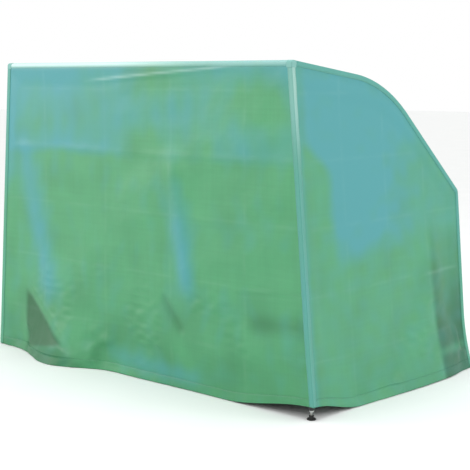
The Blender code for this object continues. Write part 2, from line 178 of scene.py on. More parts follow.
def streak(x, y, start, end, width, fade=0.25):
    """A soft ridge of height 1 along a segment: a bell curve of the given width across it, fading at both
    ends over a share of its length."""
    (x0, y0), (x1, y1) = start, end
    length = math.hypot(x1 - x0, y1 - y0)
    along = ((x - x0) * (x1 - x0) + (y - y0) * (y1 - y0)) / length**2
    across = ((x - x0) * (y1 - y0) - (y - y0) * (x1 - x0)) / length
    ends = smooth(along / fade + 0.5) * smooth((1 - along) / fade + 0.5)
    return bell(across, width) * ends


def marks(x, y, rows):
    """The sum of several streaks, each a row of (strength, start, end, width)."""
    return sum(strength * streak(x, y, start, end, width) for strength, start, end, width in rows)


def bell(x, width):
    return np.exp(-((x / width) ** 2))


def unit(v):
    return v / np.maximum(np.linalg.norm(v, axis=-1, keepdims=True), 1e-12)


def stack(x, y, z):
    return np.stack(np.broadcast_arrays(x, y, z), axis=-1).astype(float)


def spaced(start, end, spacing):
    """Evenly spaced values from start to end, at most one spacing apart."""
    return np.linspace(start, end, max(2, math.ceil(abs(end - start) / spacing) + 1))


def merged(*runs):
    """Several runs of values in one, without those that crowd their neighbour."""
    values = np.unique(np.concatenate(runs))
    return values[np.concatenate(([True], np.diff(values) > LEAST_GRID))]


def round_angles(count):
    return np.linspace(0, 2 * np.pi, count, endpoint=False)


def travelled(points):
    """The distance along a line of points, from its start to each."""
    return np.concatenate(([0], np.cumsum(np.linalg.norm(np.diff(points, axis=0), axis=1))))


# The side view's outline


def rounded_outline():
    """The side view as (y, z) points from the front hem to the rear hem: straight lines whose corners are
    arcs tangent to both neighbours."""
    front = ((FRONT_Y, HEM_FOOT), (FRONT_Y, HEIGHT))
    rear = ((REAR_Y, EAVE_HEIGHT), (REAR_Y, HEM_FOOT))
    corners = np.array((*front, KNEE, *rear))
    points = [corners[0]]
    for before, corner, after, radius in zip(
        corners, corners[1:], corners[2:], (BROW_RADIUS, KNEE_RADIUS, EAVE_RADIUS)
    ):
        into = unit(corner - before)
        out = unit(after - corner)
        inside = np.array((into[1], -into[0]))
        turn = math.acos(np.clip(into @ out, -1, 1))
        start = corner - into * radius * math.tan(turn / 2)
        for angle in np.linspace(0, turn, ARC_POINTS):
            points.append(start + into * radius * math.sin(angle) + inside * radius * (1 - math.cos(angle)))
    points.append(corners[-1])
    return np.array(points)


ARC_POINTS = 40
OUTLINE = rounded_outline()
DISTANCE = travelled(OUTLINE)
WRAP_LENGTH = DISTANCE[-1]
ARC_ENDS = [DISTANCE[first + ARC_POINTS * n] for first in (1, ARC_POINTS) for n in range(3)]
BROW_START, KNEE_START, EAVE_START, BROW_END, KNEE_END, EAVE_END = ARC_ENDS
BROW_S = (BROW_START + BROW_END) / 2
EAVE_SEAM_S = EAVE_END + EAVE_LAP
TOP_Y, TOP_Z = OUTLINE[1:-1].T  # the roof, without the two feet


def outline_at(s):
    """The side view's point (y, z) at a distance s along the wrap."""
    return np.interp(s, DISTANCE, OUTLINE[:, 0]), np.interp(s, DISTANCE, OUTLINE[:, 1])


def outline_inwards(s):
    """The side view's inward normal (y, z) at s."""
    step = 0.002
    y0, z0 = outline_at(s - step)
    y1, z1 = outline_at(s + step)
    way = unit(np.stack((y1 - y0, z1 - z0), axis=-1))
    return way[..., 1], -way[..., 0]


def roof_height(y):
    """The height of the side's upper edge at y."""
    return np.interp(y, TOP_Y, TOP_Z)


def half_width(z):
    return TOP_WIDTH / 2 + SIDE_FLARE - FLARE_SLOPE * z


# How the sheet hangs. Heights are in metres, proud of the cut.


def hem_rise(x, y, z, on_front, hand):
    """How much higher a point near the hem is than it was cut: the near corner is drawn up, and the rest has
    sunk. Both fade out up the wall."""
    from_side = half_width(z) - x if on_front else y - FRONT_Y
    reach = LIFT_REACH["front" if on_front else "side"]
    share = smooth(1 - from_side / reach) * (hand > 0)
    up = np.clip((z - HEM_FOOT) / LIFT_RISE, 0, 1)
    return ((CORNER_LIFT + HEM_SETTLE) * share - HEM_SETTLE) * (1 - up) ** 2


def hem_stray(y, z):
    """How far the foot of a side stands out, more towards the back."""
    up = np.clip((z - HEM_FOOT) / STRAY_RISE, 0, 1)
    return HEM_STRAY * smooth((y - FRONT_Y - 0.1) / 0.6) * (1 - up) ** 2


def foot_spread(u, z):
    """A round bulge about the left quarter line of the tall face, which fades out up the face."""
    away = np.clip((u + 0.5) / SPREAD_REACH, -1, 1)
    up = np.clip((z - HEM_FOOT) / SPREAD_RISE, 0, 1)
    return FOOT_SPREAD * (1 + np.cos(np.pi * away)) / 2 * (1 - up) ** 2


def wrap_cut(s, u):
    """The wrap as it was cut and put on: the outline at s, as wide there as the sides stand."""
    y, z = outline_at(s)
    x = u * (half_width(z) + hem_stray(y, z))
    on_front = s < BROW_S
    y = y - np.where(on_front, foot_spread(u, z), 0)
    rise = np.where(on_front, hem_rise(x, y, z, True, 1), hem_rise(x, y, z, False, -1))
    return stack(x, y, z + rise)


def side_cut(hand, y, z):
    """A side as it was cut and put on: a leaning plane."""
    return stack(hand * (half_width(z) + hem_stray(y, z)), y, z + hem_rise(0, y, z, False, hand))


def wrap_normal(s, u, step=0.003):
    """The wrap's outward normal, square to its two tangents."""
    across = wrap_cut(s, u + step) - wrap_cut(s, u - step)
    along = wrap_cut(s + step, u) - wrap_cut(s - step, u)
    return unit(np.cross(across, along))


def side_normal(hand, y):
    return stack(hand / LEAN + 0 * y, 0, FLARE_SLOPE / LEAN)


def grid_faces(rows, columns, ring=False, loop=False, start=0):
    """The quads between a grid's points. A ring joins the last column to the first, a loop the last row."""
    index = start + np.arange(rows * columns).reshape(rows, columns)
    if ring:
        index = np.concatenate((index, index[:, :1]), axis=1)
    if loop:
        index = np.concatenate((index, index[:1]), axis=0)
    corners = (index[:-1, :-1], index[:-1, 1:], index[1:, 1:], index[1:, :-1])
    return np.stack(corners, axis=-1).reshape(-1, 4)


CARRIERS = [*RAIL_JOINTS]  # the tubes that the hanging sheets lie against
for kind in ("roof_bow", "side_rail", "front_post", "rear_post"):
    CARRIERS += [f"{kind}_{word}" for word in HANDS]


def hang(grids, fixed):
    """Lets sheets hang for a while with cloth simulation: each is a grid of points, with a mask of those that
    its seams and its hem hold. They are cut a little longer than their place and lie against the frame's
    tubes. Returns how far each point moved."""
    scene = bpy.context.scene
    points = np.concatenate([grid.reshape(-1, 3) for grid in grids])
    starts = np.cumsum([0] + [grid.shape[0] * grid.shape[1] for grid in grids])
    faces = [grid_faces(*grid.shape[:2], start=start) for grid, start in zip(grids, starts)]
    mesh = bpy.data.meshes.new("hanging sheets")
    mesh.from_pydata(points, [], np.concatenate(faces))
    sheets = bpy.data.objects.new("hanging sheets", mesh)
    scene.collection.objects.link(sheets)
    held = np.flatnonzero(np.concatenate([mask.ravel() for mask in fixed]))
    sheets.vertex_groups.new(name="seams").add(held.tolist(), 1.0, "REPLACE")

    carriers = []
    for name in CARRIERS:
        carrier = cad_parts[name].copy()
        scene.collection.objects.link(carrier)
        carrier.modifiers.new("touch", "COLLISION")
        carrier.collision.thickness_outer = TOUCH_GAP
        carrier.collision.cloth_friction = 6
        carriers.append(carrier)

    cloth = sheets.modifiers.new("cloth", "CLOTH")
    for setting, value in HANG_FABRIC.items():
        setattr(cloth.settings, setting, value)
    cloth.collision_settings.distance_min = TOUCH_GAP
    cloth.point_cache.frame_start = 1
    cloth.point_cache.frame_end = HANG_FRAMES
    for number in range(1, HANG_FRAMES + 1):
        scene.frame_set(number)
    hung = sheets.evaluated_get(bpy.context.evaluated_depsgraph_get())
    moved = np.empty(len(points) * 3, np.float32)
    hung.data.vertices.foreach_get("co", moved)
    moved = moved.reshape(-1, 3) - points
    scene.frame_set(1)
    for helper in (sheets, *carriers):
        bpy.data.objects.remove(helper)
    return [moved[a:b].reshape(grid.shape) for grid, a, b in zip(grids, starts, starts[1:])]


SEAM_S = (0, BROW_S, EAVE_SEAM_S, WRAP_LENGTH)  # the ends and the cross seams of the wrap
HANG_S = np.unique(np.concatenate([spaced(low, high, HANG_GRID) for low, high in zip(SEAM_S, SEAM_S[1:])]))
HANG_U = spaced(-1, 1, HANG_GRID / half_width(HEIGHT / 2))
HANG_Y = spaced(FRONT_Y, REAR_Y, HANG_GRID)
HANG_T = spaced(0, 1, HANG_GRID / HEIGHT)  # up a side, as a share of the way from its hem to the roof


def hung_heights():
    """How far the wrap and the two sides swing out or in as they hang, on the simulation's grids."""
    s, u = np.meshgrid(HANG_S, HANG_U, indexing="ij")
    t, y = np.meshgrid(HANG_T, HANG_Y, indexing="ij")
    z = HEM_FOOT + (roof_height(y) - HEM_FOOT) * t
    grids = [wrap_cut(s, u)]
    fixed = [(np.abs(u) == 1) | np.isin(s, SEAM_S)]
    for hand in HANDS.values():
        grids.append(side_cut(hand, y, z)[:, ::hand])
        fixed.append((t == 0) | (t == 1) | (y == FRONT_Y) | (y == REAR_Y))
    moved = hang(grids, fixed)
    normals = [wrap_normal(s, u)] + [side_normal(hand, y) for hand in HANDS.values()]
    heights = [(shift * normal).sum(axis=-1) for shift, normal in zip(moved, normals)]
    return [heights[0], heights[1][:, ::-1], heights[2]]


def cubic_weights(t):
    """The four weights of a Catmull-Rom cubic a share t of the way between its two middle values."""
    return np.stack((-t + 2 * t**2 - t**3, 2 - 5 * t**2 + 3 * t**3, t + 4 * t**2 - 3 * t**3, t**3 - t**2)) / 2


def between(grid, rows, columns, row, column):
    """A grid's value between its rows and columns, by Catmull-Rom cubics both ways."""
    i = np.interp(row, rows, np.arange(len(rows)))
    j = np.interp(column, columns, np.arange(len(columns)))
    padded = np.pad(grid, 2, mode="edge")
    low_i = np.clip(np.floor(i).astype(int), 0, grid.shape[0] - 2)
    low_j = np.clip(np.floor(j).astype(int), 0, grid.shape[1] - 2)
    along = cubic_weights(i - low_i)
    across = cubic_weights(j - low_j)
    total = 0
    for a in range(4):
        for b in range(4):
            total = total + along[a] * across[b] * padded[low_i + a + 1, low_j + b + 1]
    return total


HUNG = dict(zip(("wrap", -1, 1), hung_heights()))


# What the simulation's wide grid can't hold: the creases that the packing left, and the folds of this cover

LEVELS = np.arange(-0.06, 4.6, 0.31)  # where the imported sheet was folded, along the wrap and up the sides
FRONT_FOLDS = 0.26 + 0.49 * np.arange(-4, 4)
SIDE_FOLDS = FRONT_Y + 0.345 * np.arange(-1, 6)


def packed(x, y, x_folds, seed):
    """What folding for the packet left: faint fold lines, and soft crumples between them."""
    patchy = np.clip(0.5 + 0.6 * ripples(x, y, 0.35, seed + 6), 0, 1)
    upright = 0.0006 * fold_lines(x, x_folds, 0.016, seed + 1)
    level = 0.0008 * fold_lines(y, LEVELS, 0.016, seed + 2)
    crumples = 0.0024 * ripples(x, y, 0.5, seed + 3) + 0.0007 * ripples(x, y, 0.16, seed + 4)
    fine = 0.0002 * ripples(x, y, 0.05, seed + 5)
    return (upright + level) * patchy + crumples + fine


def rumpled(x, z, seed):
    """Short level wrinkles where the free foot of the cover has been handled, in patches near the floor."""
    patch = smooth(0.3 + 0.7 * ripples(x, z, 0.4, seed)) * smooth((0.62 - z) / 0.2)
    return 0.0019 * patch * ripples(0.5 * x, z, 0.05, seed + 1)


LONG_FOLDS = (((-0.92, 1.2), (-0.68, 0.34)), ((0.26, 1.16), (0.38, 0.5)))
FALLEN_FOLD = (-0.91, 0.38)  # the upper end of a fallen fold's upright edge
FALLEN_SLOPE = 0.62  # from there it runs down to the right
FALLEN_SOFTNESS = 0.06
SECOND_FOLD = ((0.2, 0.46), (0.34, 0.3))
TALL_FACE_STREAKS = (
    (0.010, *LONG_FOLDS[0], 0.055),  # long soft folds that hang from the middle rail
    (0.009, *LONG_FOLDS[1], 0.045),
    (0.003, (-0.45, 1.1), (-0.36, 0.3), 0.05),
    (0.005, (-0.3, 1.545), (0.62, 1.608), 0.013),  # a drawn wrinkle under the top edge
    (0.003, (0.7, 0.55), (1.12, 0.585), 0.01),  # a crease towards the near corner
    (-0.003, (0.7, 0.535), (1.12, 0.57), 0.01),
    (-0.006, *SECOND_FOLD, 0.018),
    (0.004, (-0.89, 0.4), (-0.42, 0.1), 0.014),  # the lip of the fallen fold
    (-0.003, (-0.91, 0.34), (-0.5, 0.09), 0.016),
)
SIDE_STREAKS = ((0.0025, (0.02, 0.575), (0.7, 0.515), 0.009), (0.0015, (1.0, 0.55), (1.3, 0.555), 0.009))


def fallen(x, z):
    """1 inside the fallen fold near the left post, a triangle with an upright left edge, and 0 outside it."""
    x0, z0 = FALLEN_FOLD
    under = smooth((z0 - z - FALLEN_SLOPE * (x - x0)) / FALLEN_SOFTNESS)
    return under * smooth((x - x0) / FALLEN_SOFTNESS + 0.5)


def tall_face_relief(x, z):
    """The tall face: its streaks, the faint line of its middle rail, and the fallen fold at the lower
    left."""
    rail = 0.0018 * streak(x, z, (-0.62, 1.17), (1.1, 1.19), 0.02, fade=0.1)
    sunk = 0.010 * fallen(x, z) * smooth((z - 0.05) / 0.05)
    return marks(x, z, TALL_FACE_STREAKS) + rail - sunk


def side_relief(y, z):
    """A side: a ridge before the rear post, behind which the sheet turns inwards, and level creases."""
    back = y - FRONT_Y
    ridge = 0.028 * smooth((back - 0.6) / 0.43) * smooth((1.30 - back) / 0.22)
    return ridge * smooth((1.1 - z) / 0.45) + marks(back, z, SIDE_STREAKS)


def hem_wave(along, z, seed):
    """The free foot of the cover wanders in and out."""
    return 0.006 * ripples(along, 0 * along, 0.5, seed, count=6) * np.clip(1 - z / 0.45, 0, 1) ** 2


def eased(height, room):
    """A height that nears minus its room as it sinks, and never passes it: -room * tanh(-height / room)."""
    return np.where(height < 0, room * np.tanh(height / room), height)


def room_under(on_roof, from_seam):
    """How far a sheet may sink, so far from the nearest seam."""
    wall, roof = (
        ROOM_AT_SEAM[place] + (ROOM_IN_FIELD[place] - ROOM_AT_SEAM[place]) * smooth((from_seam - 0.05) / 0.08)
        for place in ("wall", "roof")
    )
    return wall + (roof - wall) * on_roof


def wrap_height(s, u):
    """How far the wrap stands proud of its cut. It fades to nothing at the seams."""
    z = outline_at(s)[1]
    x = u * half_width(z)
    from_seam = half_width(z) * (1 - np.abs(u))
    on_front = smooth((BROW_START - s) / 0.02)
    on_rear = smooth((s - EAVE_END) / 0.02)
    relief = packed(x, s, FRONT_FOLDS, 3)
    relief = relief + on_front * (tall_face_relief(x, z) + hem_wave(x, z, 31) + rumpled(x, z, 35))
    relief = relief + on_rear * (hem_wave(x + 9, z, 32) + rumpled(x + 9, z, 37))
    over_brow = smooth(np.abs(s - BROW_S) / 0.05)
    over_eave = smooth((np.abs(s - (EAVE_START + EAVE_END) / 2) - 0.01) / 0.06)
    on_roof = smooth((s - BROW_START + 0.06) / 0.05) * smooth((EAVE_END + 0.06 - s) / 0.05)
    from_any = np.minimum(from_seam, np.minimum(np.abs(s - BROW_S), np.abs(s - EAVE_END)))
    height = relief * smooth(from_seam / RELIEF_FADE) * over_brow * over_eave
    height = height + between(HUNG["wrap"], HANG_S, HANG_U, s, u) * smooth(from_any / HANG_FADE)
    return eased(height, room_under(on_roof, from_any) + BULGE_ROOM * on_front * foot_spread(u, z))


def side_height(hand, y, z):
    """How far a side stands proud of its cut. It fades to nothing at the seams."""
    from_edge = np.minimum(y - FRONT_Y, REAR_Y - y)
    from_roof = (roof_height(y) - z) * 0.8
    relief = packed(y + 3 * hand, z, SIDE_FOLDS + 3 * hand, 11 + hand) + side_relief(y, z)
    relief = relief + hem_wave(y + 5 * hand, z, 33) + rumpled(y + 5 * hand, z, 39)
    from_any = np.minimum(from_edge, from_roof)
    up_side = (z - HEM_FOOT) / (roof_height(y) - HEM_FOOT)
    hung = between(HUNG[hand], HANG_T, HANG_Y, up_side, y)
    height = relief * smooth(from_any / RELIEF_FADE) + hung * smooth(from_any / HANG_FADE)
    return eased(height, room_under(0, from_any) + BULGE_ROOM * hem_stray(y, z))


def hung_out(cut, normal, height, proud):
    """Points moved out of their cut by their height, clear of the frame, and on by how proud they are."""
    hung = clear_of_frame(cut + normal * height[..., None])
    return hung + normal * np.broadcast_to(proud, height.shape)[..., None]


def wrap(s, u, proud=0.0):
    """The wrap as it hangs."""
    s, u = np.broadcast_arrays(np.asarray(s, float), np.asarray(u, float))
    return hung_out(wrap_cut(s, u), wrap_normal(s, u), wrap_height(s, u), proud)


def side(hand, y, z, proud=0.0):
    """A side as it hangs."""
    y, z = np.broadcast_arrays(np.asarray(y, float), np.asarray(z, float))
    return hung_out(side_cut(hand, y, z), side_normal(hand, y), side_height(hand, y, z), proud)


# Colour on the cover, as shares of 0 to 1 that the fabric's material reads: mostly painted sky reflection,
# painted highlights and painted shade


def tints(**shares):
    return {name: np.clip(share, 0, 1) for name, share in shares.items()}


TALL_FACE_HIGHLIGHT = ((0.25, (-0.3, 1.549), (0.62, 1.612), 0.006),)  # a painted highlight along the wrinkle's ridge
# Darker marks on the tall face: painted shade under the wrinkle and in the second fold, and a darker blotch
# by the near corner.
TALL_FACE_DARK = (
    (0.3, (-0.2, 1.578), (0.7, 1.622), 0.014),  # painted shade under the wrinkle
    (0.35, *SECOND_FOLD, 0.03),
    (0.4, (0.78, 0.4), (1.14, 0.43), 0.05),  # a blotch by the near corner
)
# A painted highlight along a crease near the side's rear edge.
SIDE_HIGHLIGHT = ((0.06, (1.0, 0.55), (1.3, 0.555), 0.008),)


def wrap_tints(s, u):
    """Sky reflection: a painted blue-green reflection of the sky, high on the tall face, along its long folds
    and up the roof and the rear wall. Highlight and wear: a painted highlight along the brow and along the
    drawn wrinkle, and pale rubbing on the fold lines. Painted shade: in the fallen fold and along the hem
    below it, under the wrinkle and in the second fold; besides that, darker towards the bottom in random
    patches and in a blotch by the near corner."""
    z = outline_at(s)[1]
    x = u * half_width(z)
    on_front = smooth((BROW_S - s) / 0.02)
    wander = ripples(x, s, 0.45, 51)
    fine = ripples(x, s, 0.12, 52)

    # Painted sky reflection: above the middle rail and most towards the left, along the long folds, in a
    # streak near the foot, by the left edge, and up the roof and the rear wall. There is none in the painted
    # shade of the fallen fold.
    above_rail = smooth((z - 1.12 - 0.015 * wander) / 0.08)
    top = 0.29 + 0.42 * smooth((0.15 - x) / 0.55) + 0.16 * wander + 0.25 * smooth((z - 1.5) / 0.1)
    folds = 0.9 * streak(x, z, *LONG_FOLDS[1], 0.07) * smooth((1.15 - z) / 0.4)
    folds = folds + marks(x, z, ((0.8, *LONG_FOLDS[0], 0.09), (0.5, (-0.2, 0.1), (0.45, 0.07), 0.05)))
    edge = 0.5 * bell(x + half_width(z) - 0.03, 0.05) * smooth((z - 0.85) / 0.2)
    elsewhere = 0.12 + (0.62 + 0.1 * fine) * smooth((z - 0.42 - 0.12 * wander) / 0.34)
    bleached = on_front * (above_rail * top + folds + edge) + (1 - on_front) * elsewhere
    bleached = bleached + 0.07 * (wander + fine)

    # A painted highlight along the brow, where the sheet bends over the top rail, fading to the right; a
    # painted highlight along the wrinkle; and pale rubbing on the fold lines.
    brow = bell(s - BROW_S + 0.006, 0.014) * (1 - 0.65 * smooth((x + 0.3) / 0.8))
    worn = brow + marks(x, z, TALL_FACE_HIGHLIGHT) * on_front + 0.03 * folded_share(x, FRONT_FOLDS, s)

    # Painted shade in the fallen fold, and along the hem below it towards the left. Besides that, darker
    # towards the bottom, in random patches.
    above_base = 0.35 + 0.65 * smooth((z - 0.03 - 0.2 * (x + 0.9)) / 0.03)
    dark = fallen(x, z) * above_base + 0.25 * smooth((0.09 - z) / 0.06) * smooth((-0.4 - x) / 0.2)
    low = 0.16 * smooth((0.65 - z) / 0.5) + 0.09 * ripples(x, s, 0.3, 53)
    soiled = on_front * (dark + marks(x, z, TALL_FACE_DARK)) + low
    return tints(bleached=bleached * (1 - dark * on_front), worn=worn, soiled=soiled)


def side_tints(hand, y, z):
    back = y - FRONT_Y
    wander = ripples(back + hand, z, 0.45, 61)
    fine = ripples(back + hand, z, 0.12, 62)

    # Painted sky reflection: high up the side, away from its front corner, less towards the rear and a little
    # less just under the roof, and along the strip just behind the front tape.
    high = smooth((z - 0.66 - 0.05 * wander) / 0.18)
    from_corner = smooth((back - 0.19 * smooth((1.3 - z) / 0.2)) / 0.12)
    rearwards = 1 - 0.72 * smooth((back - 0.54 - 0.02 * fine) / 0.5) * smooth((1.4 - z) / 0.3)
    near_roof = 0.15 * smooth((0.09 - roof_height(y) + z) / 0.06)
    bleached = high * from_corner * rearwards * (1 - near_roof) * (0.92 + 0.06 * wander)
    bleached = bleached + 0.14 + 0.06 * fine + 0.35 * bell(back - 0.028, 0.022)

    # Pale rubbing on the fold lines, and a painted highlight along the rear crease.
    worn = 0.03 * folded_share(y, SIDE_FOLDS, z) + marks(back, z, SIDE_HIGHLIGHT)

    behind = smooth((back - 1.03) / 0.05) * smooth((0.82 - z) / 0.1)  # painted shade on the turned-in part behind the ridge
    # The painted shade is deeper lower down and lighter in a band near the floor. Besides it, the side is
    # darker towards the bottom, in random patches.
    deeper = 0.2 + 0.8 * np.clip((0.75 - z) / 0.55, 0, 1)
    band = 1 - 0.55 * bell(z - 0.14, 0.025)
    low = 0.1 * smooth((0.5 - z) / 0.5) + 0.07 * ripples(back, z, 0.3, 63)
    return tints(bleached=bleached, worn=worn, soiled=behind * deeper * band + low)


def folded_share(x, x_folds, y):
    """Where the sheet is rubbed pale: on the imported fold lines, in patches."""
    upright, level = (
        bell(np.abs(values[..., None] - lines).min(axis=-1), 0.008)
        for values, lines in ((x, x_folds), (y, LEVELS))
    )
    patchy = 0.5 + 0.5 * ripples(x, y, 0.2, 77)
    return np.clip((upright + level) * np.clip(patchy, 0, 1), 0, 1)


# The frame's centre lines


def middle_of(node):
    low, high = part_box(node)
    return (np.array(low) + np.array(high)) / 2


WALL_INSET = middle_of("front_mid_rail")[1] - FRONT_Y  # from the cut to the frame's centre lines
BASE_HEIGHT = middle_of("front_bottom_rail")[2]
MID_HEIGHT = middle_of("front_mid_rail")[2]
BROW_DROP = HEIGHT - middle_of("top_front_rail")[2] - WALL_INSET * math.tan(ROOF_FALL)
ROOF_INSET = BROW_DROP * math.cos(ROOF_FALL)


def in_side_frame(hand, y, z):
    """A point of the side view, placed on the leaning plane that holds one side's centre lines."""
    return stack(hand * (half_width(z) - WALL_INSET * LEAN), y, z)


def knee_line(hand, count=25):
    """The bent part of a roof bow: the knee's arc moved inwards to the centre lines."""
    s = np.linspace(KNEE_START, KNEE_END, count)
    y, z = outline_at(s)
    inward_y, inward_z = outline_inwards(s)
    return in_side_frame(hand, y + ROOF_INSET * inward_y, z + ROOF_INSET * inward_z)


def side_joints(hand):
    """Where one side's centre lines meet: its two feet, the brow, the eave and its three tees."""
    slope = math.atan2(KNEE[1] - EAVE_HEIGHT, REAR_Y - KNEE[0])
    front, rear = FRONT_Y + WALL_INSET, REAR_Y - WALL_INSET
    eave_z = EAVE_HEIGHT + WALL_INSET * math.tan(slope) - ROOF_INSET / math.cos(slope)
    knee = knee_line(hand)
    brow = in_side_frame(hand, front, HEIGHT - BROW_DROP - WALL_INSET * math.tan(ROOF_FALL))
    eave = in_side_frame(hand, rear, eave_z)
    return {
        "front_foot": in_side_frame(hand, front, BASE_HEIGHT),
        "rear_foot": in_side_frame(hand, rear, BASE_HEIGHT),
        "brow": brow,
        "eave": eave,
        "mid": in_side_frame(hand, front, MID_HEIGHT),
        "upper_purlin": knee[0] - unit(knee[0] - brow) * PURLIN_SETBACK,
        "lower_purlin": knee[-1] - unit(knee[-1] - eave) * PURLIN_SETBACK,
    }


JOINTS = {word: side_joints(hand) for word, hand in HANDS.items()}


def frame_rods():
    """The frame as round rods, (start, end, radius): each tube's centre line, and thicker ends for its
    sockets."""
    rods = []
    runs = [(JOINTS["left"][joint], JOINTS["right"][joint]) for joint in RAIL_JOINTS.values()]
    for word, hand in HANDS.items():
        at = JOINTS[word]
        knee = knee_line(hand, 9)
        rods += [(start, end, TUBE_RADIUS) for start, end in zip(knee, knee[1:])]
        runs += [(at["brow"], knee[0]), (at["eave"], knee[-1]), (at["front_foot"], at["rear_foot"])]
        runs += [(at["front_foot"], at["brow"]), (at["rear_foot"], at["eave"])]
        for tee, end in TEE_RUNS.items():
            half = unit(at[end] - at[tee]) * SOCKET_LENGTH / 2
            rods.append((at[tee] - half, at[tee] + half, FITTING_BALL))
    for start, end in runs:
        socket = unit(end - start) * SOCKET_LENGTH
        rods.append((start, end, TUBE_RADIUS))
        rods += [(start, start + socket, FITTING_BALL), (end - socket, end, FITTING_BALL)]
    return rods


def clear_of_frame(points):
    """Points of a sheet that would lie in the frame are moved out square to its rods, until the sheet lies on
    them."""
    points = points.copy()
    for start, end, radius in FRAME_RODS:
        reach = radius + SHEET + FRAME_CLEARANCE
        low, high = np.minimum(start, end) - reach, np.maximum(start, end) + reach
        near = ((points > low) & (points < high)).all(axis=-1)
        if not near.any():
            continue
        along = np.clip((points[near] - start) @ (end - start) / ((end - start) @ (end - start)), 0, 1)
        foot = start + along[:, None] * (end - start)
        away = np.linalg.norm(points[near] - foot, axis=-1, keepdims=True)
        points[near] = foot + (points[near] - foot) * np.maximum(reach / np.maximum(away, 1e-9), 1)
    return points


FRAME_RODS = frame_rods()


# Making meshes


def new_mesh(name, points, faces, welded=False):
    """A smooth mesh. Welding closes the poles, where a whole row of the grid is one point."""
    mesh = bpy.data.meshes.new(name)
    mesh.from_pydata(points.reshape(-1, 3), [], faces)
    if welded:
        work = bmesh.new()
        work.from_mesh(mesh)
        bmesh.ops.remove_doubles(work, verts=work.verts, dist=1e-6)
        work.to_mesh(mesh)
        work.free()
    mesh.shade_smooth()
    return mesh


def cloth_mesh(name, points, flat, shares):
    """A sheet's mesh from a grid of points, with its cloth coordinates in metres and its tints."""
    faces = grid_faces(*points.shape[:2])
    mesh = new_mesh(name, points, faces)
    layer = mesh.uv_layers.new(name="cloth")
    layer.data.foreach_set("uv", flat.reshape(-1, 2)[faces.ravel()].astype(np.float32).ravel())
    for tint, share in shares.items():
        values = np.broadcast_to(share, points.shape[:2]).astype(np.float32).ravel()
        mesh.attributes.new(tint, "FLOAT", "POINT").data.foreach_set("value", values)
    return mesh


def repeated(faces, points, copies):
    """The faces of one mesh, for several copies whose points follow each other."""
    return (faces + points * np.arange(copies)[:, None, None]).reshape(-1, 4)


def piece(name, mesh, material, slot, body, *nodes):
    """A finished piece that rides on a body, and stands for the frame's plain nodes if any are named."""
    made = bpy.data.objects.new(name, mesh)
    bpy.context.scene.collection.objects.link(made)
    mesh.materials.clear()
    mesh.materials.append(material)
    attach(made, body)
    if nodes:
        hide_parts(*nodes)
    return made


def thicken(made, thickness, offset=-1):
    """Gives a sheet its wall: offset -1 puts it behind the surface and 1 in front of it."""
    wall = made.modifiers.new("wall", "SOLIDIFY")
    wall.thickness = thickness
    wall.offset = offset
    wall.use_even_offset = False
    return made


def square_to(way):
    """Two unit vectors square to a way and to each other, so that the first, the second and the way turn
    right."""
    flattest = np.eye(3)[np.argmin(np.abs(way).sum(axis=0) if way.ndim > 1 else np.abs(way))]
    first = unit(np.cross(flattest, way))
    return first, np.cross(way, first)


def pipe_mesh(name, path, radius, wall, sides=36, bevel=0.0004):
    """A hollow tube along a path: rings of the outer radius from start to end, and of the inner radius back
    again, with a small bevel at each rim."""
    way = unit(np.gradient(path, axis=0))
    first, second = square_to(way)
    last = len(path) - 1
    steps = [(0, 0, radius - bevel)]
    steps += [(n, bevel * (n == 0) - bevel * (n == last), radius) for n in range(last + 1)]
    steps += [(last, 0, radius - bevel)]
    steps += [(n, 0, radius - wall) for n in range(last, -1, -1)]
    at, shift, size = (np.array(column) for column in zip(*steps))
    angle = round_angles(sides)[:, None]
    spoke = np.cos(angle) * first[at][:, None] + np.sin(angle) * second[at][:, None]
    points = path[at][:, None] + way[at][:, None] * shift[:, None, None] + spoke * size[:, None, None]
    mesh = new_mesh(name, points, grid_faces(len(steps), sides, ring=True, loop=True))
    mesh.set_sharp_from_angle(angle=math.radians(40))
    return mesh


def turned_mesh(name, start, way, profile, sides=32):
    """A turned solid: each (radius, distance) of the profile is a ring round the line from start along the
    way. A radius of 0 at either end closes it."""
    way = unit(np.asarray(way, float))
    first, second = square_to(way)
    radius, distance = np.array(profile, float).T
    angle = round_angles(sides)[None, :, None]
    spoke = np.cos(angle) * first + np.sin(angle) * second
    points = start + way * distance[:, None, None] + spoke * radius[:, None, None]
    return new_mesh(name, points, grid_faces(len(profile), sides, ring=True), welded=True)


def rounded(corners, radius, steps=3):
    """A turned profile whose inner corners are cut off round: each becomes a quadratic curve between the
    points a radius before it and a radius after it."""
    corners = np.array(corners, float)
    points = [corners[0]]
    for before, corner, after in zip(corners, corners[1:], corners[2:]):
        near = min(radius, np.linalg.norm(before - corner) / 2, np.linalg.norm(after - corner) / 2)
        start = corner + unit(before - corner) * near
        end = corner + unit(after - corner) * near
        for t in np.linspace(0, 1, steps + 1):
            points.append(start * (1 - t) ** 2 + corner * 2 * t * (1 - t) + end * t**2)
    points.append(corners[-1])
    return points


def carved(name, first, added, taken):
    """One closed mesh: the first, joined with the added ones, with the taken ones bored out of it."""
    helpers = [bpy.data.objects.new(name, first)]
    bpy.context.scene.collection.objects.link(helpers[0])
    for operation, meshes in (("UNION", added), ("DIFFERENCE", taken)):
        for mesh in meshes:
            tool = bpy.data.objects.new("tool", mesh)
            bpy.context.scene.collection.objects.link(tool)
            helpers.append(tool)
            step = helpers[0].modifiers.new(operation.lower(), "BOOLEAN")
            step.operation = operation
            step.object = tool
    graph = bpy.context.evaluated_depsgraph_get()
    made = bpy.data.meshes.new_from_object(helpers[0].evaluated_get(graph))
    for helper in helpers:
        bpy.data.objects.remove(helper)
    made.shade_smooth()
    made.set_sharp_from_angle(angle=math.radians(35))
    return made


# The cover's pieces


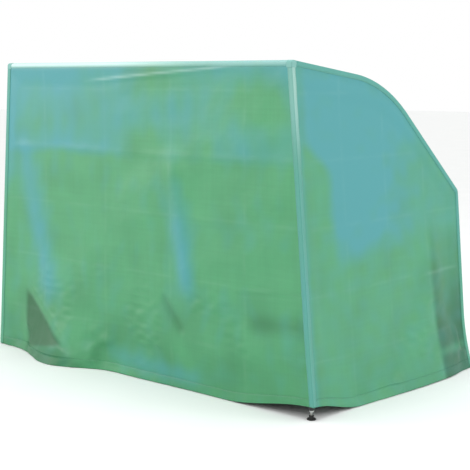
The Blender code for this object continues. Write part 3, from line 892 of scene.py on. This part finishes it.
def lengthways(start, end):
    """Values of s between two, at a plain spacing that is closer round the brow and the eave."""
    runs = (
        spaced(start, end, GRID), spaced(BROW_START - BEND_REACH, BROW_END + BEND_REACH, BROW_GRID),
        spaced(EAVE_START - BEND_REACH, EAVE_END + BEND_REACH, EAVE_GRID),
    )
    return merged(*(run[(run >= start) & (run <= end)] for run in runs))


def wrap_piece(name, s, u, material, slot, thickness, node, proud=0.0, offset=-1):
    """A piece of the wrap between rows s and columns u."""
    s, u = np.meshgrid(s, u, indexing="ij")
    x = u * half_width(outline_at(s)[1])
    mesh = cloth_mesh(name, wrap(s, u, proud), stack(x, s, 0)[..., :2], wrap_tints(s, u))
    return thicken(piece(name, mesh, material, slot, "cover", node), thickness, offset)


def across_wrap(end=1.0):
    return spaced(-end, end, GRID / half_width(HEIGHT / 2))


def side_cloth(name, hand, node):
    columns = merged(spaced(FRONT_Y, REAR_Y, GRID), spaced(REAR_Y - REAR_REACH, REAR_Y, EAVE_GRID))
    share, y = np.meshgrid(spaced(0, 1, GRID / HEIGHT), columns[::hand], indexing="ij")
    foot = HEM_FOOT + HEM_TUCK
    z = foot + (roof_height(y) - foot) * share
    mesh = cloth_mesh(name, side(hand, y, z), stack(y, z, 0)[..., :2], side_tints(hand, y, z))
    return thicken(piece(name, mesh, fabric, "cover_fabric", "cover", node), SHEET)


def hem_profile():
    """Across a hem, as (height, proud): down the inner leaf from its top, a half circle round the sheet's
    edge, and up the outer leaf."""
    clear = SHEET / 2 + SEAM_GAP
    turn = np.linspace(0, np.pi, 7)
    fold = np.stack((clear - clear * np.sin(turn), -SHEET / 2 - clear * np.cos(turn)), axis=-1)
    inner = [(h, fold[0, 1]) for h in np.linspace(HEM_HEIGHT - HEM_TUCK, HEM_TUCK, 5)]
    outer = [(h, fold[-1, 1]) for h in np.linspace(HEM_TUCK, HEM_HEIGHT, 5)]
    return np.concatenate((inner, fold, outer))


def hem_piece(name, place, along, shares, node):
    """A folded hem: its profile carried along the sheet's foot, and a line of stitches near its upper edge.
    A place turns (along, height, proud) into points."""
    profile = hem_profile()
    height, proud = profile.T
    rows, columns = np.meshgrid(height, along, indexing="ij")
    flat = stack(*np.meshgrid(travelled(profile), along, indexing="ij")[::-1], 0)[..., :2]
    points = place(columns, rows, proud[:, None])
    mesh = cloth_mesh(name, points, flat, shares(columns, rows))
    made = thicken(piece(name, mesh, fabric, "hem_fabric", "cover", node), SHEET, 1)
    run = np.linspace(along[0], along[-1], 1200)
    level = HEM_HEIGHT - STITCH_INSET
    outside = SHEET + 2 * SEAM_GAP
    line = place(run, level + 0 * run, outside)
    out = place(run, level + 0 * run, outside + PROUD_STEP) - line
    return made, stitches(f"{name}_stitching", [(line, out)])


def seam_point(hand, s, leg, proud):
    """A point beside one of the cover's long seams: leg is negative on the wrap and positive on the side."""
    y, z = outline_at(s)
    on_wrap = wrap(s, hand * (1 - np.maximum(-leg, 0) / half_width(z)), proud)
    inward_y, inward_z = outline_inwards(s)
    reach = np.maximum(leg, 0)
    on_side = side(hand, y + inward_y * reach, z + inward_z * reach, proud)
    middle = (on_wrap + on_side) / 2
    leg = leg[..., None]
    return np.where(leg < 0, on_wrap, np.where(leg > 0, on_side, middle))


def over_hem(s):
    """Tapes climb over the hem, which is two layers thicker."""
    near = np.minimum(s, WRAP_LENGTH - s)
    return SEAM_GAP + (SHEET + 2 * SEAM_GAP) * smooth((HEM_HEIGHT + 0.003 - near) / 0.003)


def seam_tape(name, hand, s, node):
    """A tape folded over a long seam, with a line of stitches along each edge."""
    leg = np.linspace(TAPE_FOLD, TAPE_WIDTH, 6)
    rows, across = np.meshgrid(s, np.concatenate((-leg[::-1], [0], leg))[::hand], indexing="ij")
    points = seam_point(hand, rows, across, over_hem(rows))
    z = outline_at(rows)[1]
    # A painted highlight high up the right front tape, more on its side leg. A painted sky reflection along
    # the front tapes, less low down on the left one, and rising up the rear.
    top = smooth((z - 1.1) / 0.4) * (rows < BROW_S) * (hand > 0)
    body = 0.62 + 0.12 * ripples(rows, across, 0.3, 91)
    if hand < 0:
        body = body * (0.2 + 0.8 * smooth((z - 0.85) / 0.25))
    past_brow = rows > BROW_S
    rear = 0.3 + 0.4 * smooth((z - 0.45) / 0.35)
    worn = (0.03 + 0.38 * top) * (0.45 + 0.55 * (across > 0))
    shares = tints(
        bleached=np.where(past_brow, rear, body), worn=np.where(past_brow, 0, worn), soiled=0.0
    )
    mesh = cloth_mesh(name, points, stack(across, rows, 0)[..., :2], shares)
    made = thicken(piece(name, mesh, tape, "seam_tape", "cover", node), TAPE_THICKNESS, 1)
    run = np.linspace(s[0] + STITCH_INSET, s[-1] - STITCH_INSET, 1500)
    lines = []
    for leg in (STITCH_INSET - TAPE_WIDTH, TAPE_WIDTH - STITCH_INSET):
        leg = np.full_like(run, leg)
        line = seam_point(hand, run, leg, over_hem(run) + TAPE_THICKNESS)
        lines.append((line, seam_point(hand, run, leg, over_hem(run) + PROUD_STEP) - line))
    return made, stitches(f"{name}_stitching", lines)


def cross_tape(name, middle, reach, node):
    """A tape across the wrap, stitched along both edges."""
    end = 1 - (TAPE_WIDTH + SEAM_GAP) / half_width(HEIGHT)
    rows = spaced(middle - reach, middle + reach, TAPE_GRID)
    made = wrap_piece(name, rows, across_wrap(end), tape, "seam_tape", TAPE_THICKNESS, node, SEAM_GAP, 1)
    u = np.linspace(-end, end, 1600)
    lines = []
    for s in (middle - reach + STITCH_INSET, middle + reach - STITCH_INSET):
        line = wrap(s, u, SEAM_GAP + TAPE_THICKNESS)
        lines.append((line, wrap(s, u, PROUD_STEP) - line))
    return made, stitches(f"{name}_stitching", lines)


def corner_patch(name, hand, node):
    """A patch over the corner where three panels meet. It lies on the wrap round the brow, and on the side
    as a fan that closes on the patch's inner corner."""
    reach = CORNER_REACH
    s = np.concatenate((
        spaced(BROW_S - reach, BROW_START, PATCH_GRID), spaced(BROW_START, BROW_END, BROW_GRID)[1:],
        spaced(BROW_END, BROW_S + reach, PATCH_GRID)[1:],
    ))
    legs = np.linspace(-reach, 0, 8)
    share = np.linspace(0, 1, 8)[1:]
    proud = 2 * SEAM_GAP + TAPE_THICKNESS
    rows, across = np.meshgrid(s, legs, indexing="ij")
    z = outline_at(rows)[1]
    on_wrap = wrap(rows, hand * (1 + across / half_width(z)), proud)
    y, z = (grid[:, None] for grid in outline_at(s))
    inner_y, inner_z = FRONT_Y + reach, HEIGHT - reach * (1 + math.tan(ROOF_FALL))
    on_side = side(hand, y + (inner_y - y) * share, z + (inner_z - z) * share, proud)
    on_wrap[:, -1] = (on_wrap[:, -1] + side(hand, y[:, 0], z[:, 0], proud)) / 2
    points = np.concatenate((on_wrap, on_side), axis=1)[:, ::hand]
    flat = stack(*np.meshgrid(s, np.concatenate((legs, reach * share)), indexing="ij"), 0)[..., :2]
    # A painted sky reflection and a painted highlight over the whole patch.
    shares = tints(bleached=0.75, worn=0.2, soiled=0.0)
    mesh = cloth_mesh(name, points, flat, shares)
    return thicken(piece(name, mesh, tape, "seam_tape", "cover", node), TAPE_THICKNESS, 1)


def stitches(name, lines):
    """Lockstitches along lines of points, each with its outward directions: short rods with rounded ends,
    each half sunk in the tape."""
    around = round_angles(5)
    ends = ((-0.5, 0.0), (-0.44, 0.8), (-0.2, 1.0), (0.2, 1.0), (0.44, 0.8), (0.5, 0.0))
    rod = np.array([
        (STITCH_LENGTH * t, THREAD_RADIUS * r * math.cos(a), THREAD_RADIUS * (r * math.sin(a) + 0.3))
        for t, r in ends
        for a in around
    ])
    points = []
    for line, out in lines:
        distance = travelled(line)
        at = np.arange(STITCH_PITCH / 2, distance[-1], STITCH_PITCH)
        middle, ahead, up = (
            np.stack([np.interp(at, distance, values) for values in track.T], axis=-1)
            for track in (line, np.gradient(line, axis=0), out)
        )
        ahead = unit(ahead)
        up = unit(up)
        axes = np.stack((ahead, np.cross(up, ahead), up), axis=1)
        points.append(middle[:, None] + rod @ axes)
    points = np.concatenate(points)
    faces = repeated(grid_faces(len(ends), len(around), ring=True), len(rod), len(points))
    return piece(name, new_mesh(name, points, faces, welded=True), thread, "seam_tape", "cover")


def build_cover():
    """Five sheets, their hems, the tapes over their seams and the patches on the two front corners."""
    ends = (HEM_TUCK, BROW_S, EAVE_SEAM_S, WRAP_LENGTH - HEM_TUCK)
    front, roof, rear = (
        wrap_piece(f"{word}_cloth", lengthways(low, high), across_wrap(), fabric, "cover_fabric", SHEET,
                   f"{word}_panel")
        for word, low, high in zip(("front", "roof", "rear"), ends, ends[1:])
    )
    front_extras = hem_piece(
        "front_hem_fold", lambda u, up, proud: wrap(up, u, proud), across_wrap(),
        lambda u, up: wrap_tints(up, u), "front_hem",
    )
    rear_extras = hem_piece(
        "rear_hem_fold", lambda u, up, proud: wrap(WRAP_LENGTH - up, u, proud), across_wrap()[::-1],
        lambda u, up: wrap_tints(WRAP_LENGTH - up, u), "rear_hem",
    )
    front_extras += cross_tape("brow_tape", BROW_S, TAPE_WIDTH, "brow_seam_tape")
    roof_extras = cross_tape("eave_tape", EAVE_SEAM_S, TAPE_WIDTH / 2, "eave_seam_tape")
    clear = TAPE_WIDTH + SEAM_GAP
    climb = lengthways(TAPE_END, BROW_S - clear)
    descent = lengthways(BROW_S + clear, WRAP_LENGTH - TAPE_END)
    for word, hand in HANDS.items():
        cloth = side_cloth(f"side_cloth_{word}", hand, f"side_panel_{word}")
        extras = hem_piece(
            f"side_hem_fold_{word}", lambda y, up, proud: side(hand, y, HEM_FOOT + up, proud),
            spaced(FRONT_Y, REAR_Y, GRID)[::hand],
            lambda y, up: side_tints(hand, y, HEM_FOOT + up), f"side_hem_{word}",
        )
        front_extras += seam_tape(f"front_tape_{word}", hand, climb, f"front_seam_tape_{word}")
        roof_extras += seam_tape(f"roof_tape_{word}", hand, descent, f"roof_edge_tape_{word}")
        front_extras += (corner_patch(f"brow_patch_{word}", hand, f"corner_patch_{word}"),)


# The frame's pieces

SLEEVE_RADIUS = 0.0189
COLLAR_RADIUS = 0.0198
BORE_RADIUS = 0.0164
BOSS_RADIUS = 0.0125
BOSS_DROP = 0.04  # from a foot fitting's centre to the boss's mouth
STEM_BORE = 0.0065
STEM_SEAT = 0.03  # how deep the stem's bore goes into the boss
COLLAR_LENGTH = 0.006  # of a tee's collars
COLLAR_SLOPE = 0.0015
MOULD_RADIUS = 0.0012
BORE_PAST = 0.004  # how far a bore's cutter stands out of its mouth
SCREW_RADIUS = 0.003
SCREW_KEY = 0.0015  # half the recess's width across its flats
SCREW_PROUD = 0.0014
SCREW_CHAMFER = 0.0004
SCREW_SETBACK = 0.02  # from a sleeve's mouth


def sleeve_mesh(start, way):
    """A moulded sleeve: a plain barrel with a thicker collar at its mouth."""
    collar = SOCKET_LENGTH - 0.011
    profile = rounded([
        (0, 0), (SLEEVE_RADIUS, 0), (SLEEVE_RADIUS, collar), (COLLAR_RADIUS, collar + COLLAR_SLOPE),
        (COLLAR_RADIUS, SOCKET_LENGTH), (0, SOCKET_LENGTH),
    ], MOULD_RADIUS)
    return turned_mesh("sleeve", start, way, profile)


def barrel_mesh(centre, way):
    """A tee's barrel, which slides on a tube: plain, with a thicker collar at both mouths."""
    reach = SOCKET_LENGTH / 2
    half = [
        (0, reach), (COLLAR_RADIUS, reach), (COLLAR_RADIUS, reach - COLLAR_LENGTH),
        (SLEEVE_RADIUS, reach - COLLAR_LENGTH - COLLAR_SLOPE),
    ]
    profile = rounded([(radius, -distance) for radius, distance in half] + half[::-1], MOULD_RADIUS)
    return turned_mesh("barrel", centre, way, profile)


def bore_mesh(start, way, near, far, radius=BORE_RADIUS):
    return turned_mesh("bore", start, way, [(0, near), (radius, near), (radius, far), (0, far)])


def fitting(node, centre, ways, through=None, boss=False):
    """A moulded fitting: a ball or a sliding barrel, with a socket along each way."""
    if through is None:
        turn = np.linspace(0, np.pi, 17)
        ball = np.stack((FITTING_BALL * np.sin(turn), -FITTING_BALL * np.cos(turn)), axis=-1)
        first = turned_mesh("ball", centre, (0, 0, 1), ball)
        taken = []
    else:
        reach = SOCKET_LENGTH / 2 + BORE_PAST
        first = barrel_mesh(centre, through)
        taken = [bore_mesh(centre, through, -reach, reach)]
    added = [sleeve_mesh(centre, way) for way in ways]
    taken += [bore_mesh(centre, way, SOCKET_FLOOR, SOCKET_LENGTH + BORE_PAST) for way in ways]
    if boss:
        down = (0, 0, -1)
        profile = rounded([(0, 0), (BOSS_RADIUS, 0), (BOSS_RADIUS, BOSS_DROP), (0, BOSS_DROP)], 0.001)
        added.append(turned_mesh("boss", centre, down, profile))
        taken.append(bore_mesh(centre, down, BOSS_DROP - STEM_SEAT, BOSS_DROP + BORE_PAST, STEM_BORE))
    piece(f"{node}_moulding", carved(node, first, added, taken), nylon, "cast_socket", "frame", node)
    grub_screws(node, centre, ways)


def hexagon(apothem, angle):
    """A hexagon's radius at an angle, from half its width across the flats."""
    return apothem / np.cos((angle + np.pi / 6) % (np.pi / 3) - np.pi / 6)


def grub_screws(node, centre, ways):
    """A grub screw in each sleeve, on the side towards the middle of the frame: a chamfered stud round a
    recess for a hexagon key."""
    angle = round_angles(24)
    recess = hexagon(SCREW_KEY, angle)
    rings = (0, SCREW_RADIUS, SCREW_RADIUS, SCREW_RADIUS - SCREW_CHAMFER, recess, recess, 0)
    radius = np.stack(np.broadcast_arrays(*rings))[..., None]
    rise = np.array((-0.001, -0.001, SCREW_PROUD - SCREW_CHAMFER, SCREW_PROUD, SCREW_PROUD, 0.0003, 0.0003))
    rise = (rise + SLEEVE_RADIUS)[:, None, None]
    screws = []
    for way in ways:
        inwards = np.array((0, 0, HEIGHT / 2)) - centre
        out = unit(inwards - way * (inwards @ way))
        spoke = np.cos(angle)[:, None] * way + np.sin(angle)[:, None] * np.cross(out, way)
        screws.append(centre + way * (SOCKET_LENGTH - SCREW_SETBACK) + rise * out + radius * spoke)
    one = grid_faces(len(rings), len(angle), ring=True)
    faces = repeated(one, len(rings) * len(angle), len(screws))
    mesh = new_mesh(node, np.array(screws), faces, welded=True)
    mesh.set_sharp_from_angle(angle=math.radians(30))
    piece(f"{node}_grub_screws", mesh, zinc, "zinc_plated_steel", "frame")


def tube(node, path):
    mesh = pipe_mesh(node, np.array(path), TUBE_RADIUS, TUBE_WALL)
    piece(f"{node}_tube", mesh, steel, "frame_tube", "frame", node)


def plugged_tube(node, start, end):
    """A straight tube between two fittings' centres, short of each by its socket's bottom."""
    seat = unit(end - start) * TUBE_SEAT
    tube(node, np.linspace(start + seat, end - seat, 5))


STEM_RADIUS = 0.006
THREAD_PITCH = 0.00175
THREAD_DEPTH = 0.0009
STEM_GAP = 0.0004  # between a stem and its pad's cup, and between its nut and the boss
STEM_GRIP = 0.028  # how far the stem reaches into the boss
NUT_HEIGHT = 0.008
NUT_CORNER = 0.0115
HUB_RADIUS = 0.0115
HUB_HEIGHT = 0.022
CUP_FLOOR = 0.011


def threaded_stem(node, foot, body):
    """A stem with a coarse metric thread: the radius is a triangle wave of (height / pitch - turn)."""
    low, high = CUP_FLOOR + STEM_GAP, BASE_HEIGHT - BOSS_DROP + STEM_GRIP
    z = np.arange(low, high, THREAD_PITCH / 6)
    rows, turn = np.meshgrid(z, round_angles(24), indexing="ij")
    wave = np.abs(2 * ((rows / THREAD_PITCH - turn / (2 * np.pi)) % 1) - 1)
    ease = np.minimum(smooth((rows - low) / 0.002), smooth((high - rows) / 0.002))
    radius = STEM_RADIUS - THREAD_DEPTH * (1 - wave * ease)
    radius[[0, -1]] = 0
    rows[0], rows[-1] = rows[1], rows[-2]
    points = stack(foot[0] + radius * np.cos(turn), foot[1] + radius * np.sin(turn), rows)
    mesh = new_mesh(node, points, grid_faces(len(z), 24, ring=True), welded=True)
    mesh.set_sharp_from_angle(angle=math.radians(50))
    piece(f"{node}_threaded", mesh, zinc, "zinc_plated_steel", body, node)


def hexagon_nut(node, foot):
    """A nut: a hexagon cut by a cone at both faces, round a plain bore with a chamfer at both ends."""
    angle = round_angles(72)
    flats = hexagon(NUT_CORNER * math.cos(math.pi / 6), angle)
    rings = [(0, 0.0074), (0, 0.0098), (0.0006, 0.0108), (0.0012, 0.0118)]  # (height, radius), lower half
    rings += [(NUT_HEIGHT - height, radius) for height, radius in rings[::-1]]
    rings += [(NUT_HEIGHT - 0.0008, STEM_BORE), (0.0008, STEM_BORE)]
    height, limit = np.array(rings).T[..., None]
    radius = np.minimum(flats[None], limit)
    low = BASE_HEIGHT - BOSS_DROP - STEM_GAP - NUT_HEIGHT
    points = stack(foot[0] + radius * np.cos(angle), foot[1] + radius * np.sin(angle), low + height)
    mesh = new_mesh(node, points, grid_faces(len(rings), len(angle), ring=True, loop=True))
    mesh.set_sharp_from_angle(angle=math.radians(25))
    piece(f"{node}_hexagon", mesh, zinc, "zinc_plated_steel", "frame", node)


def foot_pad(node, foot, body):
    """A moulded rubber pad: a cupped hub over a wide foot with a moulded groove round it."""
    profile = rounded([
        (0, 0), (0.0200, 0), (0.0219, 0.0008), (0.0219, 0.0045), (0.0190, 0.0072), (0.0161, 0.0078),
        (0.0153, 0.0070), (0.0145, 0.0078), (HUB_RADIUS, 0.0085), (HUB_RADIUS, HUB_HEIGHT),
        (STEM_BORE, HUB_HEIGHT), (STEM_BORE, CUP_FLOOR), (0, CUP_FLOOR),
    ], 0.0009)
    mesh = turned_mesh(node, np.array((foot[0], foot[1], 0)), (0, 0, 1), profile, sides=48)
    mesh.set_sharp_from_angle(angle=math.radians(50))
    piece(f"{node}_moulded", mesh, rubber, "foot_rubber", body, node)


def build_frame():
    for word, hand in HANDS.items():
        at = JOINTS[word]
        knee = knee_line(hand)
        inwards = np.array((-hand, 0, 0))
        up_front = unit(at["brow"] - at["front_foot"])
        up_rear = unit(at["eave"] - at["rear_foot"])
        roofward = unit(knee[0] - at["brow"])
        slopeward = unit(knee[-1] - at["eave"])
        back = unit(at["rear_foot"] - at["front_foot"])
        fitting(f"brow_socket_{word}", at["brow"], [-up_front, roofward, inwards])
        fitting(f"eave_socket_{word}", at["eave"], [-up_rear, slopeward, inwards])
        fitting(f"front_foot_socket_{word}", at["front_foot"], [up_front, back, inwards], boss=True)
        fitting(f"rear_foot_socket_{word}", at["rear_foot"], [up_rear, -back, inwards], boss=True)
        for tee, through in (("mid", up_front), ("upper_purlin", roofward), ("lower_purlin", slopeward)):
            fitting(f"{tee}_tee_{word}", at[tee], [inwards], through=through)
        plugged_tube(f"front_post_{word}", at["front_foot"], at["brow"])
        plugged_tube(f"rear_post_{word}", at["rear_foot"], at["eave"])
        plugged_tube(f"side_rail_{word}", at["front_foot"], at["rear_foot"])
        ends = at["brow"] + roofward * TUBE_SEAT, at["eave"] + slopeward * TUBE_SEAT
        tube(f"roof_bow_{word}", np.concatenate((ends[:1], knee, ends[1:])))
        for corner in ("front", "rear"):
            foot = at[f"{corner}_foot"]
            place = f"{corner}_{word}"
            threaded_stem(f"foot_stem_{place}", foot, f"foot_{place}")
            hexagon_nut(f"foot_nut_{place}", foot)
            foot_pad(f"foot_pad_{place}", foot, f"pad_{place}")
    for node, joint in RAIL_JOINTS.items():
        plugged_tube(node, JOINTS["left"][joint], JOINTS["right"][joint])


# Materials


def put(tree, kind, inputs=None, **settings):
    """Adds a node. Settings are its properties; inputs are values or other nodes' outputs, by socket."""
    item = tree.nodes.new(kind)
    for name, value in settings.items():
        setattr(item, name, value)
    for key, value in (inputs or {}).items():
        if isinstance(value, bpy.types.NodeSocket):
            tree.links.new(value, item.inputs[key])
        else:
            item.inputs[key].default_value = value
    return item


def colour(code, gain=1.0):
    """A linear colour with alpha from an sRGB hex code."""
    parts = [int(code[n : n + 2], 16) / 255 for n in (1, 3, 5)]
    return (*(gain * (c / 12.92 if c <= 0.04045 else ((c + 0.055) / 1.055) ** 2.4) for c in parts), 1)


def new_material(name, **values):
    """A material whose shader has these plain values; underscores in their names stand for spaces."""
    material = bpy.data.materials.new(name)
    material.use_nodes = True
    tree = material.node_tree
    shader = tree.nodes["Principled BSDF"]
    for key, value in values.items():
        shader.inputs[key.replace("_", " ")].default_value = value
    return material, tree, shader


def feed(tree, shader, **sources):
    """Links outputs to the shader's inputs of the same names."""
    for key, source in sources.items():
        tree.links.new(source, shader.inputs[key.replace("_", " ")])


def math_node(tree, operation, *values):
    return put(tree, "ShaderNodeMath", dict(enumerate(values)), operation=operation).outputs[0]


def scaled(tree, value, factor, offset=0.0):
    return math_node(tree, "MULTIPLY_ADD", value, factor, offset)


def stretched(tree, vector, factors):
    return put(tree, "ShaderNodeVectorMath", {0: vector, 1: factors}, operation="MULTIPLY").outputs[0]


def mixed(tree, share, first, second, **settings):
    inputs = {0: share, 6: first, 7: second}
    return put(tree, "ShaderNodeMix", inputs, data_type="RGBA", **settings).outputs[2]


def noise(tree, vector, scale, detail=2.0):
    inputs = {"Vector": vector, "Scale": scale, "Detail": detail}
    return put(tree, "ShaderNodeTexNoise", inputs).outputs["Fac"]


def spread(tree, value, low, high, least=0.0, most=1.0):
    """A value's range from low to high, spread over the range from least to most."""
    limits = {"From Min": low, "From Max": high, "To Min": least, "To Max": most}
    return put(tree, "ShaderNodeMapRange", {"Value": value, **limits}).outputs[0]


def bumped(tree, shader, height, strength, distance=0.0002):
    bump = put(tree, "ShaderNodeBump", {"Height": height, "Strength": strength, "Distance": distance})
    feed(tree, shader, Normal=bump.outputs["Normal"])


def object_place(tree):
    return put(tree, "ShaderNodeTexCoord").outputs["Object"]


def woven_polyethylene(name, base, pale, sky_tint, shade_tint, pitch, roughness):
    """Woven polyethylene tapes under a clear film: a plain weave of flat tapes, long faint streaks where
    single tapes differ, soft blotches, and the dull gloss of the film."""
    material, tree, shader = new_material(name, IOR=1.5, Coat_Weight=0.06, Coat_Roughness=0.35)
    cloth = put(tree, "ShaderNodeUVMap", uv_map="cloth").outputs["UV"]
    cells = stretched(tree, cloth, (1 / pitch,) * 3)
    split = put(tree, "ShaderNodeSeparateXYZ", {0: cells})
    checks = put(tree, "ShaderNodeTexChecker", {"Vector": cells, "Scale": 1.0}).outputs["Fac"]
    crowns = []
    for axis in ("X", "Y"):
        wave = math_node(tree, "SINE", scaled(tree, split.outputs[axis], math.pi))
        crowns.append(math_node(tree, "ABSOLUTE", wave))
    weave = put(tree, "ShaderNodeMix", {0: checks, 2: crowns[0], 3: crowns[1]}, data_type="FLOAT").outputs[0]

    stretches = ((2.5, 80.0, 1.0), (80.0, 2.5, 1.0))
    streaks = [noise(tree, stretched(tree, cloth, stretch), 1.0) for stretch in stretches]
    tone = scaled(tree, math_node(tree, "ADD", *streaks), 0.5, noise(tree, cloth, 3.5, 3.0))
    shade = mixed(tree, spread(tree, tone, 0.75, 1.25), colour(base, 0.94), colour(base, 1.06))
    # The sheet's attributes mix in, one after another, painted shade, a painted sky reflection, and the pale
    # of painted highlights and of wear.
    shares = {}
    for kind, over in (("soiled", shade_tint), ("bleached", sky_tint), ("worn", pale)):
        shares[kind] = put(tree, "ShaderNodeAttribute", attribute_name=kind).outputs["Fac"]
        shade = mixed(tree, shares[kind], shade, colour(over))
    woven = mixed(tree, 1.0, shade, spread(tree, weave, 0.0, 0.35, 0.93, 1.0), blend_type="MULTIPLY")
    feed(tree, shader, Base_Color=woven, Roughness=scaled(tree, shares["worn"], 0.15, roughness))
    bumped(tree, shader, weave, 0.4, 0.0003)
    return material


def powder_coated_steel():
    """Satin polyester powder: an orange peel 1.5 mm across, and faint rubbed spots here and there."""
    material, tree, shader = new_material("powder coated steel", IOR=1.5, Coat_Weight=0.1)
    place = object_place(tree)
    cloudy = noise(tree, place, 9.0, 4.0)
    rubbed = spread(tree, noise(tree, place, 38.0, 5.0), 0.62, 0.7)
    shade = mixed(tree, cloudy, colour("#262c2c"), colour("#363d3c"))
    shade = mixed(tree, scaled(tree, rubbed, 0.5), shade, colour("#5a6362"))
    feed(tree, shader, Base_Color=shade, Roughness=scaled(tree, cloudy, 0.2, 0.3))
    bumped(tree, shader, noise(tree, place, 700.0), 0.25)
    return material


def mottled(name, dark, pale, scale, detail=2.0, span=None, gloss=None, grain=None, **values):
    """Two tones in soft patches, with a roughness (factor, offset) that follows them, and a fine grain
    (scale, strength) in relief."""
    material, tree, shader = new_material(name, **values)
    place = object_place(tree)
    patches = noise(tree, place, scale, detail)
    if span:
        patches = spread(tree, patches, *span)
    feed(tree, shader, Base_Color=mixed(tree, patches, colour(dark), colour(pale)))
    if gloss:
        feed(tree, shader, Roughness=scaled(tree, patches, *gloss))
    if grain:
        bumped(tree, shader, noise(tree, place, grain[0]), grain[1])
    return material


def zinc_plated_steel():
    """Bright zinc plate with a blue passivate: a metal whose tint wanders between blue and straw."""
    material, tree, shader = new_material("zinc plated steel", Metallic=1.0)
    place = object_place(tree)
    shade = mixed(tree, noise(tree, place, 60.0, 3.0), colour("#aab2bd"), colour("#cbc8b8"))
    feed(tree, shader, Base_Color=shade, Roughness=scaled(tree, noise(tree, place, 240.0, 3.0), 0.25, 0.2))
    return material


# Studio


def softbox(name, place, target, size, power, tone):
    lamp = bpy.data.lights.new(name, "AREA")
    lamp.size = size
    lamp.energy = power
    lamp.color = tone
    holder = bpy.data.objects.new(name, lamp)
    holder.location = place
    holder.rotation_euler = (Vector(target) - Vector(place)).to_track_quat("-Z", "Y").to_euler()
    bpy.context.scene.collection.objects.link(holder)


def studio():
    scene = bpy.context.scene
    scene.view_settings.view_transform = "Standard"
    world = bpy.data.worlds.new("pale studio")
    world.use_nodes = True
    background = world.node_tree.nodes["Background"]
    background.inputs["Color"].default_value = (1, 1, 1, 1)
    background.inputs["Strength"].default_value = 1.0
    scene.world = world
    softbox("overhead softbox", (0.6, -0.6, 4.6), (0, 0, 0.6), 2.6, 70, (0.93, 0.98, 1.0))
    softbox("left softbox", (-5.5, -5.2, 2.6), (-0.2, -0.3, 0.7), 1.8, 105, (1.0, 0.99, 0.97))
    softbox("right softbox", (5.0, 1.6, 2.6), (1.0, 0.1, 0.7), 1.8, 32, (0.97, 0.99, 1.0))

    floor_mesh = bpy.data.meshes.new("studio floor")
    corners = [(FLOOR_REACH * x, FLOOR_REACH * y, 0) for x, y in ((-1, -1), (1, -1), (1, 1), (-1, 1))]
    floor_mesh.from_pydata(corners, [], [(0, 1, 2, 3)])
    floor = bpy.data.objects.new("studio_floor", floor_mesh)
    floor_mesh.materials.append(mottled("matt paper", "#f4f6f5", "#fafbfa", 2.0, Roughness=0.9))
    scene.collection.objects.link(floor)

    camera = bpy.data.cameras.new("camera")
    camera.lens = CAMERA_LENS
    camera.clip_end = 100
    eye = bpy.data.objects.new("camera", camera)
    eye.location = CAMERA_PLACE
    eye.rotation_euler = (math.pi / 2 + CAMERA_PITCH, 0, CAMERA_YAW)
    scene.collection.objects.link(eye)
    scene.camera = eye


studio()

# Besides its own colour, each cloth has the tint of a painted shade, of a painted sky reflection, and the
# pale of painted highlights and wear.
fabric = woven_polyethylene(
    "laminated woven polyethylene", base="#489867", pale="#cdeae3", sky_tint="#43979b", shade_tint="#156035",
    pitch=0.004, roughness=0.45,
)
tape = woven_polyethylene(
    "woven seam tape", base="#4b9a74", pale="#cdeae3", sky_tint="#4a9a98", shade_tint="#1f6a46",
    pitch=0.003, roughness=0.42,
)
thread = mottled(
    "polyester thread", "#3f8064", "#7db59c", 160.0, grain=(2500.0, 0.5), IOR=1.55, Roughness=0.6
)
steel = powder_coated_steel()
nylon = mottled(  # nearly black, with grey flow marks and a spark-eroded grain 0.9 mm across
    "glass filled nylon", "#121415", "#24282a", 26.0, 4.0, gloss=(0.2, 0.42), grain=(1100.0, 0.35), IOR=1.53
)
zinc = zinc_plated_steel()
rubber = mottled(  # dusty in patches
    "moulded rubber", "#111213", "#3a3833", 90.0, 5.0,
    span=(0.45, 0.8), gloss=(0.15, 0.7), grain=(900.0, 0.4), IOR=1.52,
)

build_frame()
build_cover()
